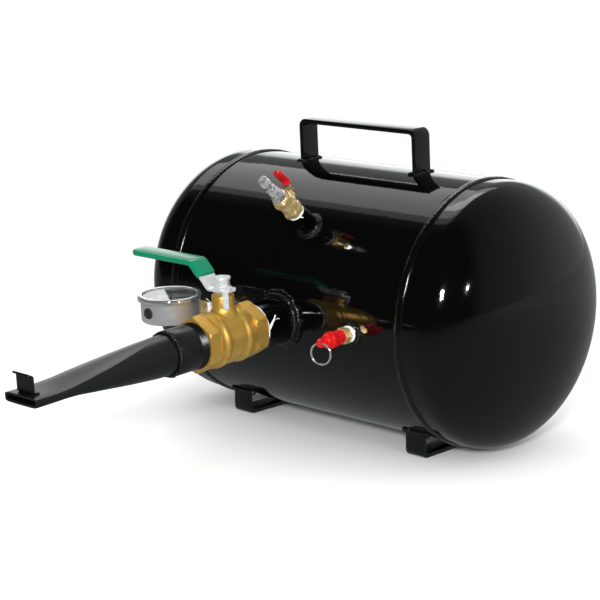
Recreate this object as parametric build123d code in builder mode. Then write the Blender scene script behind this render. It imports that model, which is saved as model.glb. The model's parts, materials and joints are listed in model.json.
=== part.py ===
import os
from math import cos, radians, sin, sqrt
from build123d import *

os.makedirs("parts", exist_ok=True)

# ---------------------------------------------------------------- driving sizes, mm
# vessel
tank_r = 143.0
wall = 2.8
shell_half = 165.75
head_straight = shell_half + 19.65
head_depth = 71.5
root_gap = 1.25
bead_width = 10.9
bead_height = 2.5
floor_gap = 8.0
roll = 2.77

# strap parts
strap_wide = 25.0
strap_thick = 5.0
handle_half = 85.0
handle_top = tank_r + 47.5
handle_bend = 9.0
foot_x = 130.5
foot_half = 74.5
foot_bend = 8.0

# outlet pipe and nozzle
outlet_x = 0.8
pipe_r = 24.15
pipe_bore = pipe_r - 3.7
nipple_end = tank_r + 58.0
nipple_inner = tank_r - 7.0
valve_start = tank_r + 45.0
valve_end = valve_start + 83.0
collar_end = valve_end + 36.0
tube_r = pipe_r - 2.95
tube_wall = 2.3
flat_start = collar_end + 148.0
mouth_at = collar_end + 187.0
mouth_wide = 2 * tube_r + 5.6
mouth_high = 10.0

# full size valve
hex_r = pipe_r + 6.65
stem_at = valve_start + 38.0
ball_r = 23.0
ball_bore = ball_r - 7.0
cavity_r = ball_r + 1.55
seat_pocket_r = ball_r - 1.95
seat_far = ball_r - 5.5
neck_r = 12.0
neck_top = 45.0
stem_r = 5.0
lever_low = 49.0
lever_thick = 2.6
lever_rise = 25.0
lever_run = 129.0
lever_wide = 21.0
grip_wide = 25.0
grip_thick = 6.0
nut_top = 63.5

# small ports
inlet_x = 16.3
inlet_angle = 39.1
safety_x = 102.5
gauge_x = -93.5
drain_x = -61.0

# gauge
case_at = tank_r + 72.5
case_r = 31.5
case_low = 1.3
case_wall = 1.2
bezel_r = case_r + 3.0
bezel_top = 30.3
gauge_stem_up = 8.0

# named clearances
running = 0.05
slack = 0.3
thread_fit = 0.05

# ---------------------------------------------------------------- frames
tank_z = tank_r + floor_gap
front_reach = mouth_at * cos(radians(roll)) + mouth_high / 2 * sin(radians(roll))
tank_y = (front_reach - (tank_r + bead_height)) / 2
centre = Vector(0, tank_y, tank_z)
tank_axis = Axis((0, tank_y, tank_z), (1, 0, 0))
across = Plane(origin=(0, tank_y, tank_z), x_dir=(0, 1, 0), z_dir=(1, 0, 0))


def port(x, angle):
    # plane on the tank axis: local x along the tank, local z radially out of the wall
    a = radians(angle)
    return Plane(origin=(x, tank_y, tank_z), x_dir=(1, 0, 0), z_dir=(0, -cos(a), sin(a)))


def side_of(p):
    # plane for revolved profiles: local x is the radius, local y runs out along the port
    return Plane(origin=p.origin, x_dir=p.x_dir, z_dir=-p.y_dir)


def axis_of(p):
    return Axis(p.origin, p.z_dir)


def turned_plane(p, angle):
    # the same plane with its local x turned about its own normal
    a = radians(angle)
    return Plane(origin=p.origin, x_dir=p.x_dir * cos(a) + p.y_dir * sin(a), z_dir=p.z_dir)


def ring_points(inner, outer, low, high):
    return [(inner, low), (outer, low), (outer, high), (inner, high), (inner, low)]


outlet = port(outlet_x, -roll)
outlet_side = side_of(outlet)
outlet_axis = axis_of(outlet)
inlet = port(inlet_x, inlet_angle)
inlet_side = side_of(inlet)
inlet_axis = axis_of(inlet)
safety = port(safety_x, -roll)
safety_side = side_of(safety)
safety_axis = axis_of(safety)
gauge = port(gauge_x, -roll)
gauge_side = side_of(gauge)
gauge_axis = axis_of(gauge)
drain = Plane(origin=(drain_x, tank_y, tank_z), x_dir=(1, 0, 0), z_dir=(0, 0, -1))
drain_side = side_of(drain)
drain_axis = axis_of(drain)
barrel = Plane(origin=(0, tank_y, tank_z), x_dir=(1, 0, 0), z_dir=outlet.y_dir)
barrel_front = Plane(origin=(0, tank_y, tank_z), x_dir=(1, 0, 0), z_dir=outlet.z_dir)

# upright frame of the full size valve: local z is the stem
valve_origin = outlet.origin + outlet.z_dir * stem_at
valve_up = Plane(origin=valve_origin, x_dir=(1, 0, 0), z_dir=outlet.y_dir)
valve_side = Plane(origin=valve_origin, x_dir=(1, 0, 0), z_dir=outlet.z_dir)
stem_axis = Axis(valve_origin, outlet.y_dir)

# bung sizes: outside radius, how far in, how far out
bung_in = tank_r - 7.0
inlet_bung_r = 10.5
inlet_bung_out = tank_r + 28.5
safety_bung_r = 8.9
safety_bung_out = tank_r + 3.0
gauge_bung_r = 10.5
gauge_bung_out = tank_r + 17.0
drain_bung_r = 11.0
drain_bung_out = tank_r + 4.4

# ---------------------------------------------------------------- vessel
with BuildPart() as tank_shell:
    with BuildSketch(across.offset(-(shell_half - root_gap))):
        Circle(tank_r)
        Circle(tank_r - wall, mode=Mode.SUBTRACT)
    extrude(amount=2 * (shell_half - root_gap))
    for hole_plane, hole_r in (
        (outlet, pipe_r),
        (inlet, inlet_bung_r),
        (safety, safety_bung_r),
        (gauge, gauge_bung_r),
        (drain, drain_bung_r),
    ):
        with BuildSketch(hole_plane.offset(tank_r - 43)):
            Circle(hole_r + slack)
        extrude(amount=60, mode=Mode.SUBTRACT)
tank_shell.part.label = "tank_shell"
export_step(tank_shell.part, "parts/tank_shell.step")

with BuildPart() as head_right:
    with BuildSketch(Plane(origin=centre, x_dir=(1, 0, 0), z_dir=(0, -1, 0))):
        with BuildLine():
            Line((shell_half + root_gap, tank_r - wall), (shell_half + root_gap, tank_r))
            Line((shell_half + root_gap, tank_r), (head_straight, tank_r))
            EllipticalCenterArc((head_straight, 0), head_depth, tank_r, start_angle=0, arc_size=90)
            Line((head_straight + head_depth, 0), (head_straight + head_depth - wall, 0))
            EllipticalCenterArc(
                (head_straight, 0), head_depth - wall, tank_r - wall, start_angle=0, arc_size=90
            )
            Line((head_straight, tank_r - wall), (shell_half + root_gap, tank_r - wall))
        make_face()
    revolve(axis=tank_axis)
head_right.part.label = "head_right"
export_step(head_right.part, "parts/head_right.step")

with BuildPart() as head_left:
    add(head_right.part.mirror(Plane.YZ))
head_left.part.label = "head_left"
export_step(head_left.part, "parts/head_left.step")

with BuildPart() as seam_weld_right:
    with BuildSketch(Plane(origin=centre, x_dir=(1, 0, 0), z_dir=(0, -1, 0))):
        with BuildLine():
            Polyline(
                (shell_half - root_gap, tank_r - wall),
                (shell_half - root_gap, tank_r),
                (shell_half - bead_width / 2, tank_r),
            )
            ThreePointArc(
                (shell_half - bead_width / 2, tank_r),
                (shell_half, tank_r + bead_height),
                (shell_half + bead_width / 2, tank_r),
            )
            Polyline(
                (shell_half + bead_width / 2, tank_r),
                (shell_half + root_gap, tank_r),
                (shell_half + root_gap, tank_r - wall),
                (shell_half - root_gap, tank_r - wall),
            )
        make_face()
    revolve(axis=tank_axis)
seam_weld_right.part.label = "seam_weld_right"
export_step(seam_weld_right.part, "parts/seam_weld_right.step")

with BuildPart() as seam_weld_left:
    add(seam_weld_right.part.mirror(Plane.YZ))
seam_weld_left.part.label = "seam_weld_left"
export_step(seam_weld_left.part, "parts/seam_weld_left.step")

# ---------------------------------------------------------------- handle and feet
with BuildPart() as handle:
    with BuildSketch(barrel_front.offset(-strap_wide / 2)) as handle_outline:
        with Locations((0, (handle_top + tank_r - 13) / 2)):
            Rectangle(2 * handle_half, handle_top - tank_r + 13)
        fillet(handle_outline.vertices().group_by(Axis.Z)[-1], handle_bend)
    extrude(amount=strap_wide)
    with BuildSketch(barrel_front.offset(-strap_wide)) as handle_gap:
        with Locations((0, (handle_top - strap_thick + tank_r - 23) / 2)):
            Rectangle(2 * (handle_half - strap_thick), handle_top - strap_thick - tank_r + 23)
        fillet(handle_gap.vertices().group_by(Axis.Z)[-1], handle_bend - strap_thick)
    extrude(amount=2 * strap_wide, mode=Mode.SUBTRACT)
    with BuildSketch(across.offset(-150)):
        Circle(tank_r)
    extrude(amount=300, mode=Mode.SUBTRACT)
handle.part.label = "handle"
export_step(handle.part, "parts/handle.step")

post_middle = handle_half - strap_thick / 2
with BuildPart() as handle_welds:
    for side in (-1, 1):
        with BuildSketch(barrel.offset(tank_r - 1.5)):
            with Locations((side * post_middle, 0)):
                RectangleRounded(strap_thick + 11, strap_wide + 8, 3)
        extrude(amount=6.5, taper=32)
    with BuildSketch(across.offset(-150)):
        Circle(tank_r)
    extrude(amount=300, mode=Mode.SUBTRACT)
    with BuildSketch(barrel.offset(tank_r - 43)):
        with Locations((-post_middle, 0), (post_middle, 0)):
            Rectangle(strap_thick, strap_wide)
    extrude(amount=100, mode=Mode.SUBTRACT)
handle_welds.part.label = "handle_welds"
export_step(handle_welds.part, "parts/handle_welds.step")


with BuildPart() as foot_right:
    with BuildSketch(across.offset(foot_x - strap_wide / 2)) as foot_outer:
        with Locations((0, (-tank_z - 80) / 2)):
            Rectangle(2 * foot_half, tank_z - 80)
        fillet(foot_outer.vertices().group_by(Axis.Z)[0], foot_bend)
    extrude(amount=strap_wide)
    with BuildSketch(across.offset(foot_x - strap_wide)) as foot_inner:
        with Locations((0, (-tank_z + strap_thick - 70) / 2)):
            Rectangle(2 * (foot_half - strap_thick), tank_z - strap_thick - 70)
        fillet(foot_inner.vertices().group_by(Axis.Z)[0], foot_bend - strap_thick)
    extrude(amount=2 * strap_wide, mode=Mode.SUBTRACT)
    with BuildSketch(across.offset(0)):
        Circle(tank_r)
    extrude(amount=200, mode=Mode.SUBTRACT)
foot_right.part.label = "foot_right"
export_step(foot_right.part, "parts/foot_right.step")

with BuildPart() as foot_left:
    add(foot_right.part.mirror(Plane.YZ))
foot_left.part.label = "foot_left"
export_step(foot_left.part, "parts/foot_left.step")

# where the leg faces meet the round wall
leg_outer_drop = sqrt(tank_r**2 - foot_half**2)
leg_inner_drop = sqrt(tank_r**2 - (foot_half - strap_thick) ** 2)
leg_cut = 23.0 - tank_r
with BuildPart() as foot_welds:
    for side in (-1, 1):
        with BuildSketch(across.offset(side * foot_x - strap_wide / 2 - 1.5)):
            for face in (-1, 1):
                with Locations((face * (foot_half + 0.8), -leg_outer_drop - 1.2)):
                    Circle(4.2)
                with Locations((face * (foot_half - strap_thick - 0.8), -leg_inner_drop - 1.4)):
                    Circle(3.6)
        extrude(amount=strap_wide + 3)
    with BuildSketch(across.offset(-200)):
        Circle(tank_r)
    extrude(amount=400, mode=Mode.SUBTRACT)
    with BuildSketch(across.offset(-foot_x - strap_wide / 2)):
        with Locations((-foot_half + strap_thick / 2, leg_cut), (foot_half - strap_thick / 2, leg_cut)):
            Rectangle(strap_thick, 60)
    extrude(amount=strap_wide, mode=Mode.SUBTRACT)
    with BuildSketch(across.offset(foot_x - strap_wide / 2)):
        with Locations((-foot_half + strap_thick / 2, leg_cut), (foot_half - strap_thick / 2, leg_cut)):
            Rectangle(strap_thick, 60)
    extrude(amount=strap_wide, mode=Mode.SUBTRACT)
foot_welds.part.label = "foot_welds"
export_step(foot_welds.part, "parts/foot_welds.step")

# ---------------------------------------------------------------- outlet nipple
with BuildPart() as outlet_nipple:
    with BuildSketch(outlet_side):
        with BuildLine():
            Polyline(
                (pipe_bore, nipple_inner),
                (pipe_r, nipple_inner),
                (pipe_r, nipple_end - 1),
                (pipe_r - 1, nipple_end),
                (pipe_bore, nipple_end),
                (pipe_bore, nipple_inner),
            )
        make_face()
    revolve(axis=outlet_axis)
outlet_nipple.part.label = "outlet_nipple"
export_step(outlet_nipple.part, "parts/outlet_nipple.step")


# fillet weld round each pipe or bung set into the round wall:
# pipe radius, foot width and height above the wall, middle width and height, top height, depth in
port_weld_sizes = (
    (outlet_side, outlet_axis, pipe_r, 8.85, 0.5, 3.85, 4.2, 10.0, 13.0),
    (inlet_side, inlet_axis, inlet_bung_r, 6.0, 1.0, 3.1, 4.2, 9.0, 5.0),
    (gauge_side, gauge_axis, gauge_bung_r, 6.0, 0.6, 2.9, 4.0, 9.0, 5.0),
    (safety_side, safety_axis, safety_bung_r, 5.1, -0.2, 3.3, 2.2, 2.6, 5.0),
    (drain_side, drain_axis, drain_bung_r, 3.6, -0.1, 2.3, 1.7, 2.4, 4.0),
)
with BuildPart() as port_welds:
    for weld_side, weld_axis, in_r, foot_w, foot_h, mid_w, mid_h, top_h, depth in port_weld_sizes:
        weld_foot = (in_r + foot_w, tank_r + foot_h)
        weld_middle = (in_r + mid_w, tank_r + mid_h)
        weld_top = (in_r, tank_r + top_h)
        with BuildSketch(weld_side):
            with BuildLine():
                Polyline(weld_top, (in_r, tank_r - depth), (in_r + foot_w, tank_r - depth), weld_foot)
                ThreePointArc(weld_foot, weld_middle, weld_top)
            make_face()
        revolve(axis=weld_axis)
    with BuildSketch(across.offset(-150)):
        Circle(tank_r)
    extrude(amount=300, mode=Mode.SUBTRACT)
port_welds.part.label = "port_welds"
export_step(port_welds.part, "parts/port_welds.step")

# ---------------------------------------------------------------- threaded bungs
small_thread = 6.6
gauge_thread = 6.6
inlet_thread = 8.2
with BuildPart() as inlet_bung:
    with BuildSketch(inlet_side):
        with BuildLine():
            Polyline(*ring_points(inlet_thread + thread_fit, inlet_bung_r, bung_in, inlet_bung_out))
        make_face()
    revolve(axis=inlet_axis)
inlet_bung.part.label = "inlet_bung"
export_step(inlet_bung.part, "parts/inlet_bung.step")

with BuildPart() as safety_bung:
    with BuildSketch(safety_side):
        with BuildLine():
            Polyline(*ring_points(small_thread + thread_fit, safety_bung_r, bung_in, safety_bung_out))
        make_face()
    revolve(axis=safety_axis)
safety_bung.part.label = "safety_bung"
export_step(safety_bung.part, "parts/safety_bung.step")

with BuildPart() as gauge_bung:
    with BuildSketch(gauge_side):
        with BuildLine():
            Polyline(*ring_points(gauge_thread + thread_fit, gauge_bung_r, bung_in, gauge_bung_out))
        make_face()
    revolve(axis=gauge_axis)
gauge_bung.part.label = "gauge_bung"
export_step(gauge_bung.part, "parts/gauge_bung.step")

with BuildPart() as drain_bung:
    with BuildSketch(drain_side):
        with BuildLine():
            Polyline(*ring_points(small_thread + thread_fit, drain_bung_r, bung_in, drain_bung_out))
        make_face()
    revolve(axis=drain_axis)
drain_bung.part.label = "drain_bung"
export_step(drain_bung.part, "parts/drain_bung.step")

# plug with a square socket, screwed flush with the bung
with BuildPart() as drain_plug:
    with BuildSketch(drain.offset(bung_in + 1)):
        Circle(small_thread)
    extrude(amount=drain_bung_out - bung_in - 1.2)
    with BuildSketch(drain.offset(drain_bung_out - 6)):
        Rectangle(6.4, 6.4)
    extrude(amount=10, mode=Mode.SUBTRACT)
drain_plug.part.label = "drain_plug"
export_step(drain_plug.part, "parts/drain_plug.step")

# ---------------------------------------------------------------- sealing tape rings
with BuildPart() as tape_outlet:
    with BuildSketch(outlet_side):
        with BuildLine():
            Polyline(*ring_points(pipe_r, pipe_r + 0.6, valve_start - 3.8, valve_start))
        make_face()
    revolve(axis=outlet_axis)
tape_outlet.part.label = "tape_outlet"
export_step(tape_outlet.part, "parts/tape_outlet.step")

with BuildPart() as tape_inlet:
    with BuildSketch(inlet_side):
        with BuildLine():
            Polyline(*ring_points(inlet_thread, inlet_thread + 0.9, inlet_bung_out, inlet_bung_out + 3.5))
        make_face()
    revolve(axis=inlet_axis)
tape_inlet.part.label = "tape_inlet"
export_step(tape_inlet.part, "parts/tape_inlet.step")

with BuildPart() as tape_safety:
    with BuildSketch(safety_side):
        with BuildLine():
            Polyline(*ring_points(small_thread, small_thread + 1.4, safety_bung_out, safety_bung_out + 4))
        make_face()
    revolve(axis=safety_axis)
tape_safety.part.label = "tape_safety"
export_step(tape_safety.part, "parts/tape_safety.step")

with BuildPart() as tape_gauge:
    with BuildSketch(gauge_side):
        with BuildLine():
            Polyline(*ring_points(gauge_thread, gauge_thread + 1.2, gauge_bung_out, gauge_bung_out + 7))
        make_face()
    revolve(axis=gauge_axis)
tape_gauge.part.label = "tape_gauge"
export_step(tape_gauge.part, "parts/tape_gauge.step")

# ---------------------------------------------------------------- full size ball valve
tail_hex_end = valve_start + 17.0
tail_insert_end = stem_at - 14.0
with BuildPart() as valve_tail:
    with BuildSketch(outlet.offset(valve_start)):
        RegularPolygon(hex_r, 6, rotation=30)
    extrude(amount=tail_hex_end - valve_start)
    with BuildSketch(outlet_side):
        with BuildLine():
            Polyline(
                (0, valve_start),
                (hex_r - 2.0, valve_start),
                (hex_r, valve_start + 1.6),
                (hex_r, tail_hex_end - 1.6),
                (hex_r - 2.0, tail_hex_end),
                (0, tail_hex_end),
                (0, valve_start),
            )
        make_face()
    revolve(axis=outlet_axis, mode=Mode.INTERSECT)
    with BuildSketch(outlet.offset(tail_hex_end)):
        Circle(cavity_r - thread_fit)
    extrude(amount=tail_insert_end - tail_hex_end)
    with BuildSketch(outlet.offset(valve_start - 1)):
        Circle(pipe_r + thread_fit)
    extrude(amount=nipple_end + 1 - valve_start + 1, mode=Mode.SUBTRACT)
    with BuildSketch(outlet.offset(valve_start)):
        Circle(ball_bore)
    extrude(amount=40, mode=Mode.SUBTRACT)
    with BuildSketch(outlet.offset(stem_at - seat_far)):
        Circle(seat_pocket_r)
    extrude(amount=20, mode=Mode.SUBTRACT)
valve_tail.part.label = "valve_tail"
export_step(valve_tail.part, "parts/valve_tail.step")

body_start = tail_hex_end
rib_r = pipe_r + 5.45
belly_r = pipe_r + 4.15
front_hex_start = stem_at + 30.0
front_thread_start = stem_at + 28.0
packing_low = 35.0
shoulder = 31.0
with BuildPart() as valve_body:
    with BuildSketch(outlet_side):
        with BuildLine():
            Polyline(
                (0, body_start),
                (belly_r - 0.6, body_start),
                (belly_r - 0.3, stem_at - 14.0),
                (rib_r, stem_at - 12.8),
                (rib_r, stem_at - 8.2),
                (belly_r, stem_at - 6.6),
                (belly_r, stem_at + 16.6),
                (rib_r, stem_at + 18.2),
                (rib_r, stem_at + 22.8),
                (belly_r - 0.3, stem_at + 24.2),
                (belly_r - 0.3, front_hex_start),
                (0, front_hex_start),
                (0, body_start),
            )
        make_face()
    revolve(axis=outlet_axis)
    with BuildSketch(outlet.offset(front_hex_start)):
        RegularPolygon(hex_r, 6, rotation=30)
    extrude(amount=valve_end - front_hex_start)
    with BuildSketch(outlet_side):
        with BuildLine():
            Polyline(
                (0, body_start - 1),
                (hex_r + 2, body_start - 1),
                (hex_r + 2, front_hex_start - 2),
                (hex_r - 1.6, front_hex_start),
                (hex_r, front_hex_start + 1.6),
                (hex_r, valve_end - 2.0),
                (hex_r - 2.4, valve_end),
                (0, valve_end),
                (0, body_start - 1),
            )
        make_face()
    revolve(axis=outlet_axis, mode=Mode.INTERSECT)
    with BuildSketch(valve_up.offset(10)):
        Circle(neck_r)
    extrude(amount=neck_top - 10)
    with BuildSketch(outlet.offset(body_start - 1)):
        Circle(cavity_r)
    extrude(amount=stem_at + 14 - body_start + 1, mode=Mode.SUBTRACT)
    with BuildSketch(outlet.offset(stem_at)):
        Circle(seat_pocket_r)
    extrude(amount=seat_far, mode=Mode.SUBTRACT)
    with BuildSketch(outlet.offset(stem_at)):
        Circle(ball_bore)
    extrude(amount=60, mode=Mode.SUBTRACT)
    with BuildSketch(outlet.offset(front_thread_start)):
        Circle(pipe_r + thread_fit)
    extrude(amount=30, mode=Mode.SUBTRACT)
    with BuildSketch(valve_up.offset(10)):
        Circle(7.2)
    extrude(amount=shoulder - 10, mode=Mode.SUBTRACT)
    with BuildSketch(valve_up.offset(10)):
        Circle(stem_r + running)
    extrude(amount=60, mode=Mode.SUBTRACT)
    with BuildSketch(valve_up.offset(packing_low)):
        Circle(8.5)
    extrude(amount=30, mode=Mode.SUBTRACT)
valve_body.part.label = "valve_body"
export_step(valve_body.part, "parts/valve_body.step")

with BuildPart() as valve_seats:
    for side in (-1, 1):
        with BuildSketch(outlet_side):
            with BuildLine():
                Polyline(
                    *ring_points(
                        ball_bore + 0.5,
                        seat_pocket_r - slack,
                        stem_at + side * 11.5,
                        stem_at + side * seat_far,
                    )
                )
            make_face()
        revolve(axis=outlet_axis)
    with Locations(valve_origin):
        Sphere(ball_r + running, mode=Mode.SUBTRACT)
valve_seats.part.label = "valve_seats"
export_step(valve_seats.part, "parts/valve_seats.step")

# rests shut: the bore lies across the pipe
with BuildPart() as valve_ball:
    with Locations(valve_origin):
        Sphere(ball_r)
    with BuildSketch(Plane(origin=valve_origin - Vector(40, 0, 0), x_dir=(0, 1, 0), z_dir=(1, 0, 0))):
        Circle(ball_bore)
    extrude(amount=80, mode=Mode.SUBTRACT)
    with BuildSketch(valve_up.offset(18.5)):
        Rectangle(5.2, 40)
    extrude(amount=20, mode=Mode.SUBTRACT)
valve_ball.part.label = "valve_ball"
export_step(valve_ball.part, "parts/valve_ball.step")

with BuildPart() as valve_stem:
    with BuildSketch(valve_up.offset(18.7)) as stem_tang:
        Circle(6.9)
        Rectangle(5.0, 30, mode=Mode.INTERSECT)
    extrude(amount=7.5)
    with BuildSketch(valve_up.offset(25.4)):
        Circle(7.1)
    extrude(amount=shoulder - 0.1 - 25.4)
    with BuildSketch(valve_up.offset(26)):
        Circle(stem_r)
    extrude(amount=lever_low - 26)
    with BuildSketch(valve_up.offset(lever_low)) as stem_top:
        Circle(stem_r)
        Rectangle(7.4, 20, mode=Mode.INTERSECT)
    extrude(amount=lever_thick)
    with BuildSketch(valve_up.offset(lever_low + lever_thick)):
        Circle(4.0)
    extrude(amount=7.4)
valve_stem.part.label = "valve_stem"
export_step(valve_stem.part, "parts/valve_stem.step")

with BuildPart() as stem_packing:
    with BuildSketch(valve_up.offset(packing_low + 0.05)):
        Circle(8.45)
        Circle(stem_r + running, mode=Mode.SUBTRACT)
    extrude(amount=4)
stem_packing.part.label = "stem_packing"
export_step(stem_packing.part, "parts/stem_packing.step")

with BuildPart() as gland_nut:
    with BuildSketch(valve_up.offset(packing_low + 4.1)):
        Circle(8.45)
    extrude(amount=neck_top - packing_low - 4.1)
    with BuildSketch(valve_up.offset(neck_top)):
        RegularPolygon(9.2, 6)
    extrude(amount=lever_low - 0.4 - neck_top)
    with BuildSketch(valve_up.offset(30)):
        Circle(stem_r + running)
    extrude(amount=30, mode=Mode.SUBTRACT)
gland_nut.part.label = "gland_nut"
export_step(gland_nut.part, "parts/gland_nut.step")

# cranked plate lever: flat eye on the stem, slope, level run under the grip
knee_low = -12.0
knee_high = -36.0
lever_mid = lever_low + lever_thick / 2


def cranked(points, thick):
    # outline of constant thickness about a line of points, mitred at the knees
    left = []
    right = []
    count = len(points)
    for i, (px, py) in enumerate(points):
        before = points[max(i - 1, 0)]
        after = points[min(i + 1, count - 1)]
        d1 = Vector(px - before[0], py - before[1]) if i > 0 else None
        d2 = Vector(after[0] - px, after[1] - py) if i < count - 1 else None
        d1 = (d1 or d2).normalized()
        d2 = (d2 if d2 is not None else d1).normalized()
        n1 = Vector(-d1.Y, d1.X)
        n2 = Vector(-d2.Y, d2.X)
        m = (n1 + n2).normalized()
        k = thick / 2 / m.dot(n1)
        left.append((px + m.X * k, py + m.Y * k))
        right.append((px - m.X * k, py - m.Y * k))
    return left + right[::-1]


lever_line = [
    (13.5, lever_mid),
    (knee_low, lever_mid),
    (knee_high, lever_mid + lever_rise),
    (-lever_run + 2, lever_mid + lever_rise),
]
with BuildPart() as valve_lever:
    with BuildSketch(valve_side.offset(-lever_wide / 2)):
        with BuildLine():
            FilletPolyline(*cranked(lever_line, lever_thick), radius=(0, 4, 4, 0, 0, 4, 4, 0), close=True)
        make_face()
    extrude(amount=lever_wide)
    with BuildSketch(valve_up.offset(lever_low - 5)) as lever_plan:
        Circle(13.5)
        with Locations((-lever_run / 2 + 1, 0)):
            Rectangle(lever_run - 2, lever_wide)
    extrude(amount=60, mode=Mode.INTERSECT)
    # stop tab folded down beside the neck
    with BuildSketch(valve_up.offset(neck_top - 13.5)):
        with PolarLocations(14.0, 1, start_angle=-32):
            Rectangle(2.2, 6.4)
    extrude(amount=lever_low + lever_thick - neck_top + 13.5)
    # short curled ear at the back end
    with BuildSketch(valve_up.offset(lever_low)):
        with Locations((14.2, 3.0)):
            Rectangle(2.4, 6)
    extrude(amount=7)
    with BuildSketch(valve_up.offset(lever_low - 20)) as lever_eye:
        Circle(stem_r + running)
        Rectangle(7.4 + 2 * running, 20, mode=Mode.INTERSECT)
    extrude(amount=40, mode=Mode.SUBTRACT)
valve_lever.part.label = "valve_lever"
export_step(valve_lever.part, "parts/valve_lever.step")

grip_line = [
    (-24.0, lever_mid + lever_rise * 0.5),
    (knee_high, lever_mid + lever_rise),
    (-lever_run, lever_mid + lever_rise),
]
with BuildPart() as lever_grip:
    with BuildSketch(valve_side.offset(-grip_wide / 2)):
        with BuildLine():
            FilletPolyline(*cranked(grip_line, grip_thick), radius=(1, 5, 2, 2, 5, 1), close=True)
        make_face()
    extrude(amount=grip_wide)
    with BuildSketch(valve_up.offset(40)) as grip_plan:
        with Locations((-lever_run / 2, 0)):
            RectangleRounded(lever_run, grip_wide, 9)
    extrude(amount=60, mode=Mode.INTERSECT)
    add(valve_lever.part, mode=Mode.SUBTRACT)
lever_grip.part.label = "lever_grip"
export_step(lever_grip.part, "parts/lever_grip.step")

nut_low = lever_low + lever_thick
with BuildPart() as lever_nut:
    with BuildSketch(Plane(origin=valve_origin, x_dir=(1, 0, 0), z_dir=outlet.z_dir)):
        with BuildLine():
            Polyline(
                (4.0, nut_low),
                (8.2, nut_low),
                (8.2, nut_low + 1.4),
                (7.0, nut_low + 3.4),
                (7.0, nut_low + 7.0),
                (9.2, nut_top - 1.4),
                (9.2, nut_top),
                (6.3, nut_top),
                (5.6, nut_top - 5.6),
                (4.0, nut_top - 5.6),
                (4.0, nut_low),
            )
        make_face()
    revolve(axis=stem_axis)
lever_nut.part.label = "lever_nut"
export_step(lever_nut.part, "parts/lever_nut.step")

# ---------------------------------------------------------------- nozzle
with BuildPart() as nozzle_collar:
    with BuildSketch(outlet_side):
        with BuildLine():
            Polyline(
                (tube_r, front_thread_start + 1),
                (pipe_r - 0.8, front_thread_start + 1),
                (pipe_r, front_thread_start + 2),
                (pipe_r, collar_end),
                (tube_r, collar_end),
                (tube_r, front_thread_start + 1),
            )
        make_face()
    revolve(axis=outlet_axis)
nozzle_collar.part.label = "nozzle_collar"
export_step(nozzle_collar.part, "parts/nozzle_collar.step")

tube_start = collar_end - 17.0
press_start = collar_end + 5.0
half_wide = mouth_wide / 2
half_high = mouth_high / 2


stations = (
    (collar_end + 23.0, 2 * tube_r + 0.2, 2 * tube_r - 0.6),
    (collar_end + 61.0, 2 * tube_r + 1.8, 34.0),
    (collar_end + 105.0, 2 * tube_r + 4.2, 22.0),
    (flat_start, mouth_wide, mouth_high + 1.2),
    (mouth_at, mouth_wide, mouth_high),
)
with BuildPart() as nozzle_tube:
    with BuildSketch(outlet.offset(tube_start)):
        Circle(tube_r)
    extrude(amount=press_start - tube_start)
    with BuildSketch(outlet.offset(press_start)):
        Circle(tube_r)
    for at, wide, high in stations:
        with BuildSketch(outlet.offset(at)):
            RectangleRounded(wide, high, high / 2 - 0.05)
    loft(ruled=False)
    with BuildSketch(outlet.offset(tube_start)):
        Circle(tube_r - tube_wall)
    extrude(amount=press_start - tube_start, mode=Mode.SUBTRACT)
    with BuildSketch(outlet.offset(press_start)):
        Circle(tube_r - tube_wall)
    for at, wide, high in stations:
        with BuildSketch(outlet.offset(at)):
            RectangleRounded(
                wide - 2 * tube_wall, high - 2 * tube_wall, (high - 2 * tube_wall) / 2 - 0.05
            )
    loft(ruled=False, mode=Mode.SUBTRACT)
nozzle_tube.part.label = "nozzle_tube"
export_step(nozzle_tube.part, "parts/nozzle_tube.step")

with BuildPart() as nozzle_weld:
    with BuildSketch(outlet_side):
        with BuildLine():
            Polyline((tube_r + 0.02, collar_end + 4.2), (tube_r + 0.02, collar_end), (pipe_r - 0.2, collar_end))
            ThreePointArc(
                (pipe_r - 0.2, collar_end),
                (tube_r + 2.2, collar_end + 2.8),
                (tube_r + 0.02, collar_end + 4.2),
            )
        make_face()
    revolve(axis=outlet_axis)
nozzle_weld.part.label = "nozzle_weld"
export_step(nozzle_weld.part, "parts/nozzle_weld.step")

# bead hook: thin angle on top of the mouth
hook_thick = 2.0
hook_back = mouth_at - 8.0
hook_high = 18.5
hook_side = Plane(origin=outlet.origin, x_dir=outlet.z_dir, z_dir=(-1, 0, 0))
with BuildPart() as hook_bracket:
    with BuildSketch(hook_side.offset(-strap_wide / 2)):
        with BuildLine():
            Polyline(
                (hook_back - 14, half_high + 0.02),
                (hook_back + hook_thick, half_high + 0.02),
                (hook_back + hook_thick, half_high + hook_high - hook_thick),
                (hook_back + 6.5, half_high + hook_high + 0.6),
                (hook_back + 5.2, half_high + hook_high + 2.2),
                (hook_back, half_high + hook_high - 0.8),
                (hook_back, half_high + hook_thick + 0.02),
                (hook_back - 14, half_high + hook_thick + 0.02),
                (hook_back - 14, half_high + 0.02),
            )
        make_face()
    extrude(amount=strap_wide)
hook_bracket.part.label = "hook_bracket"
export_step(hook_bracket.part, "parts/hook_bracket.step")

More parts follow.
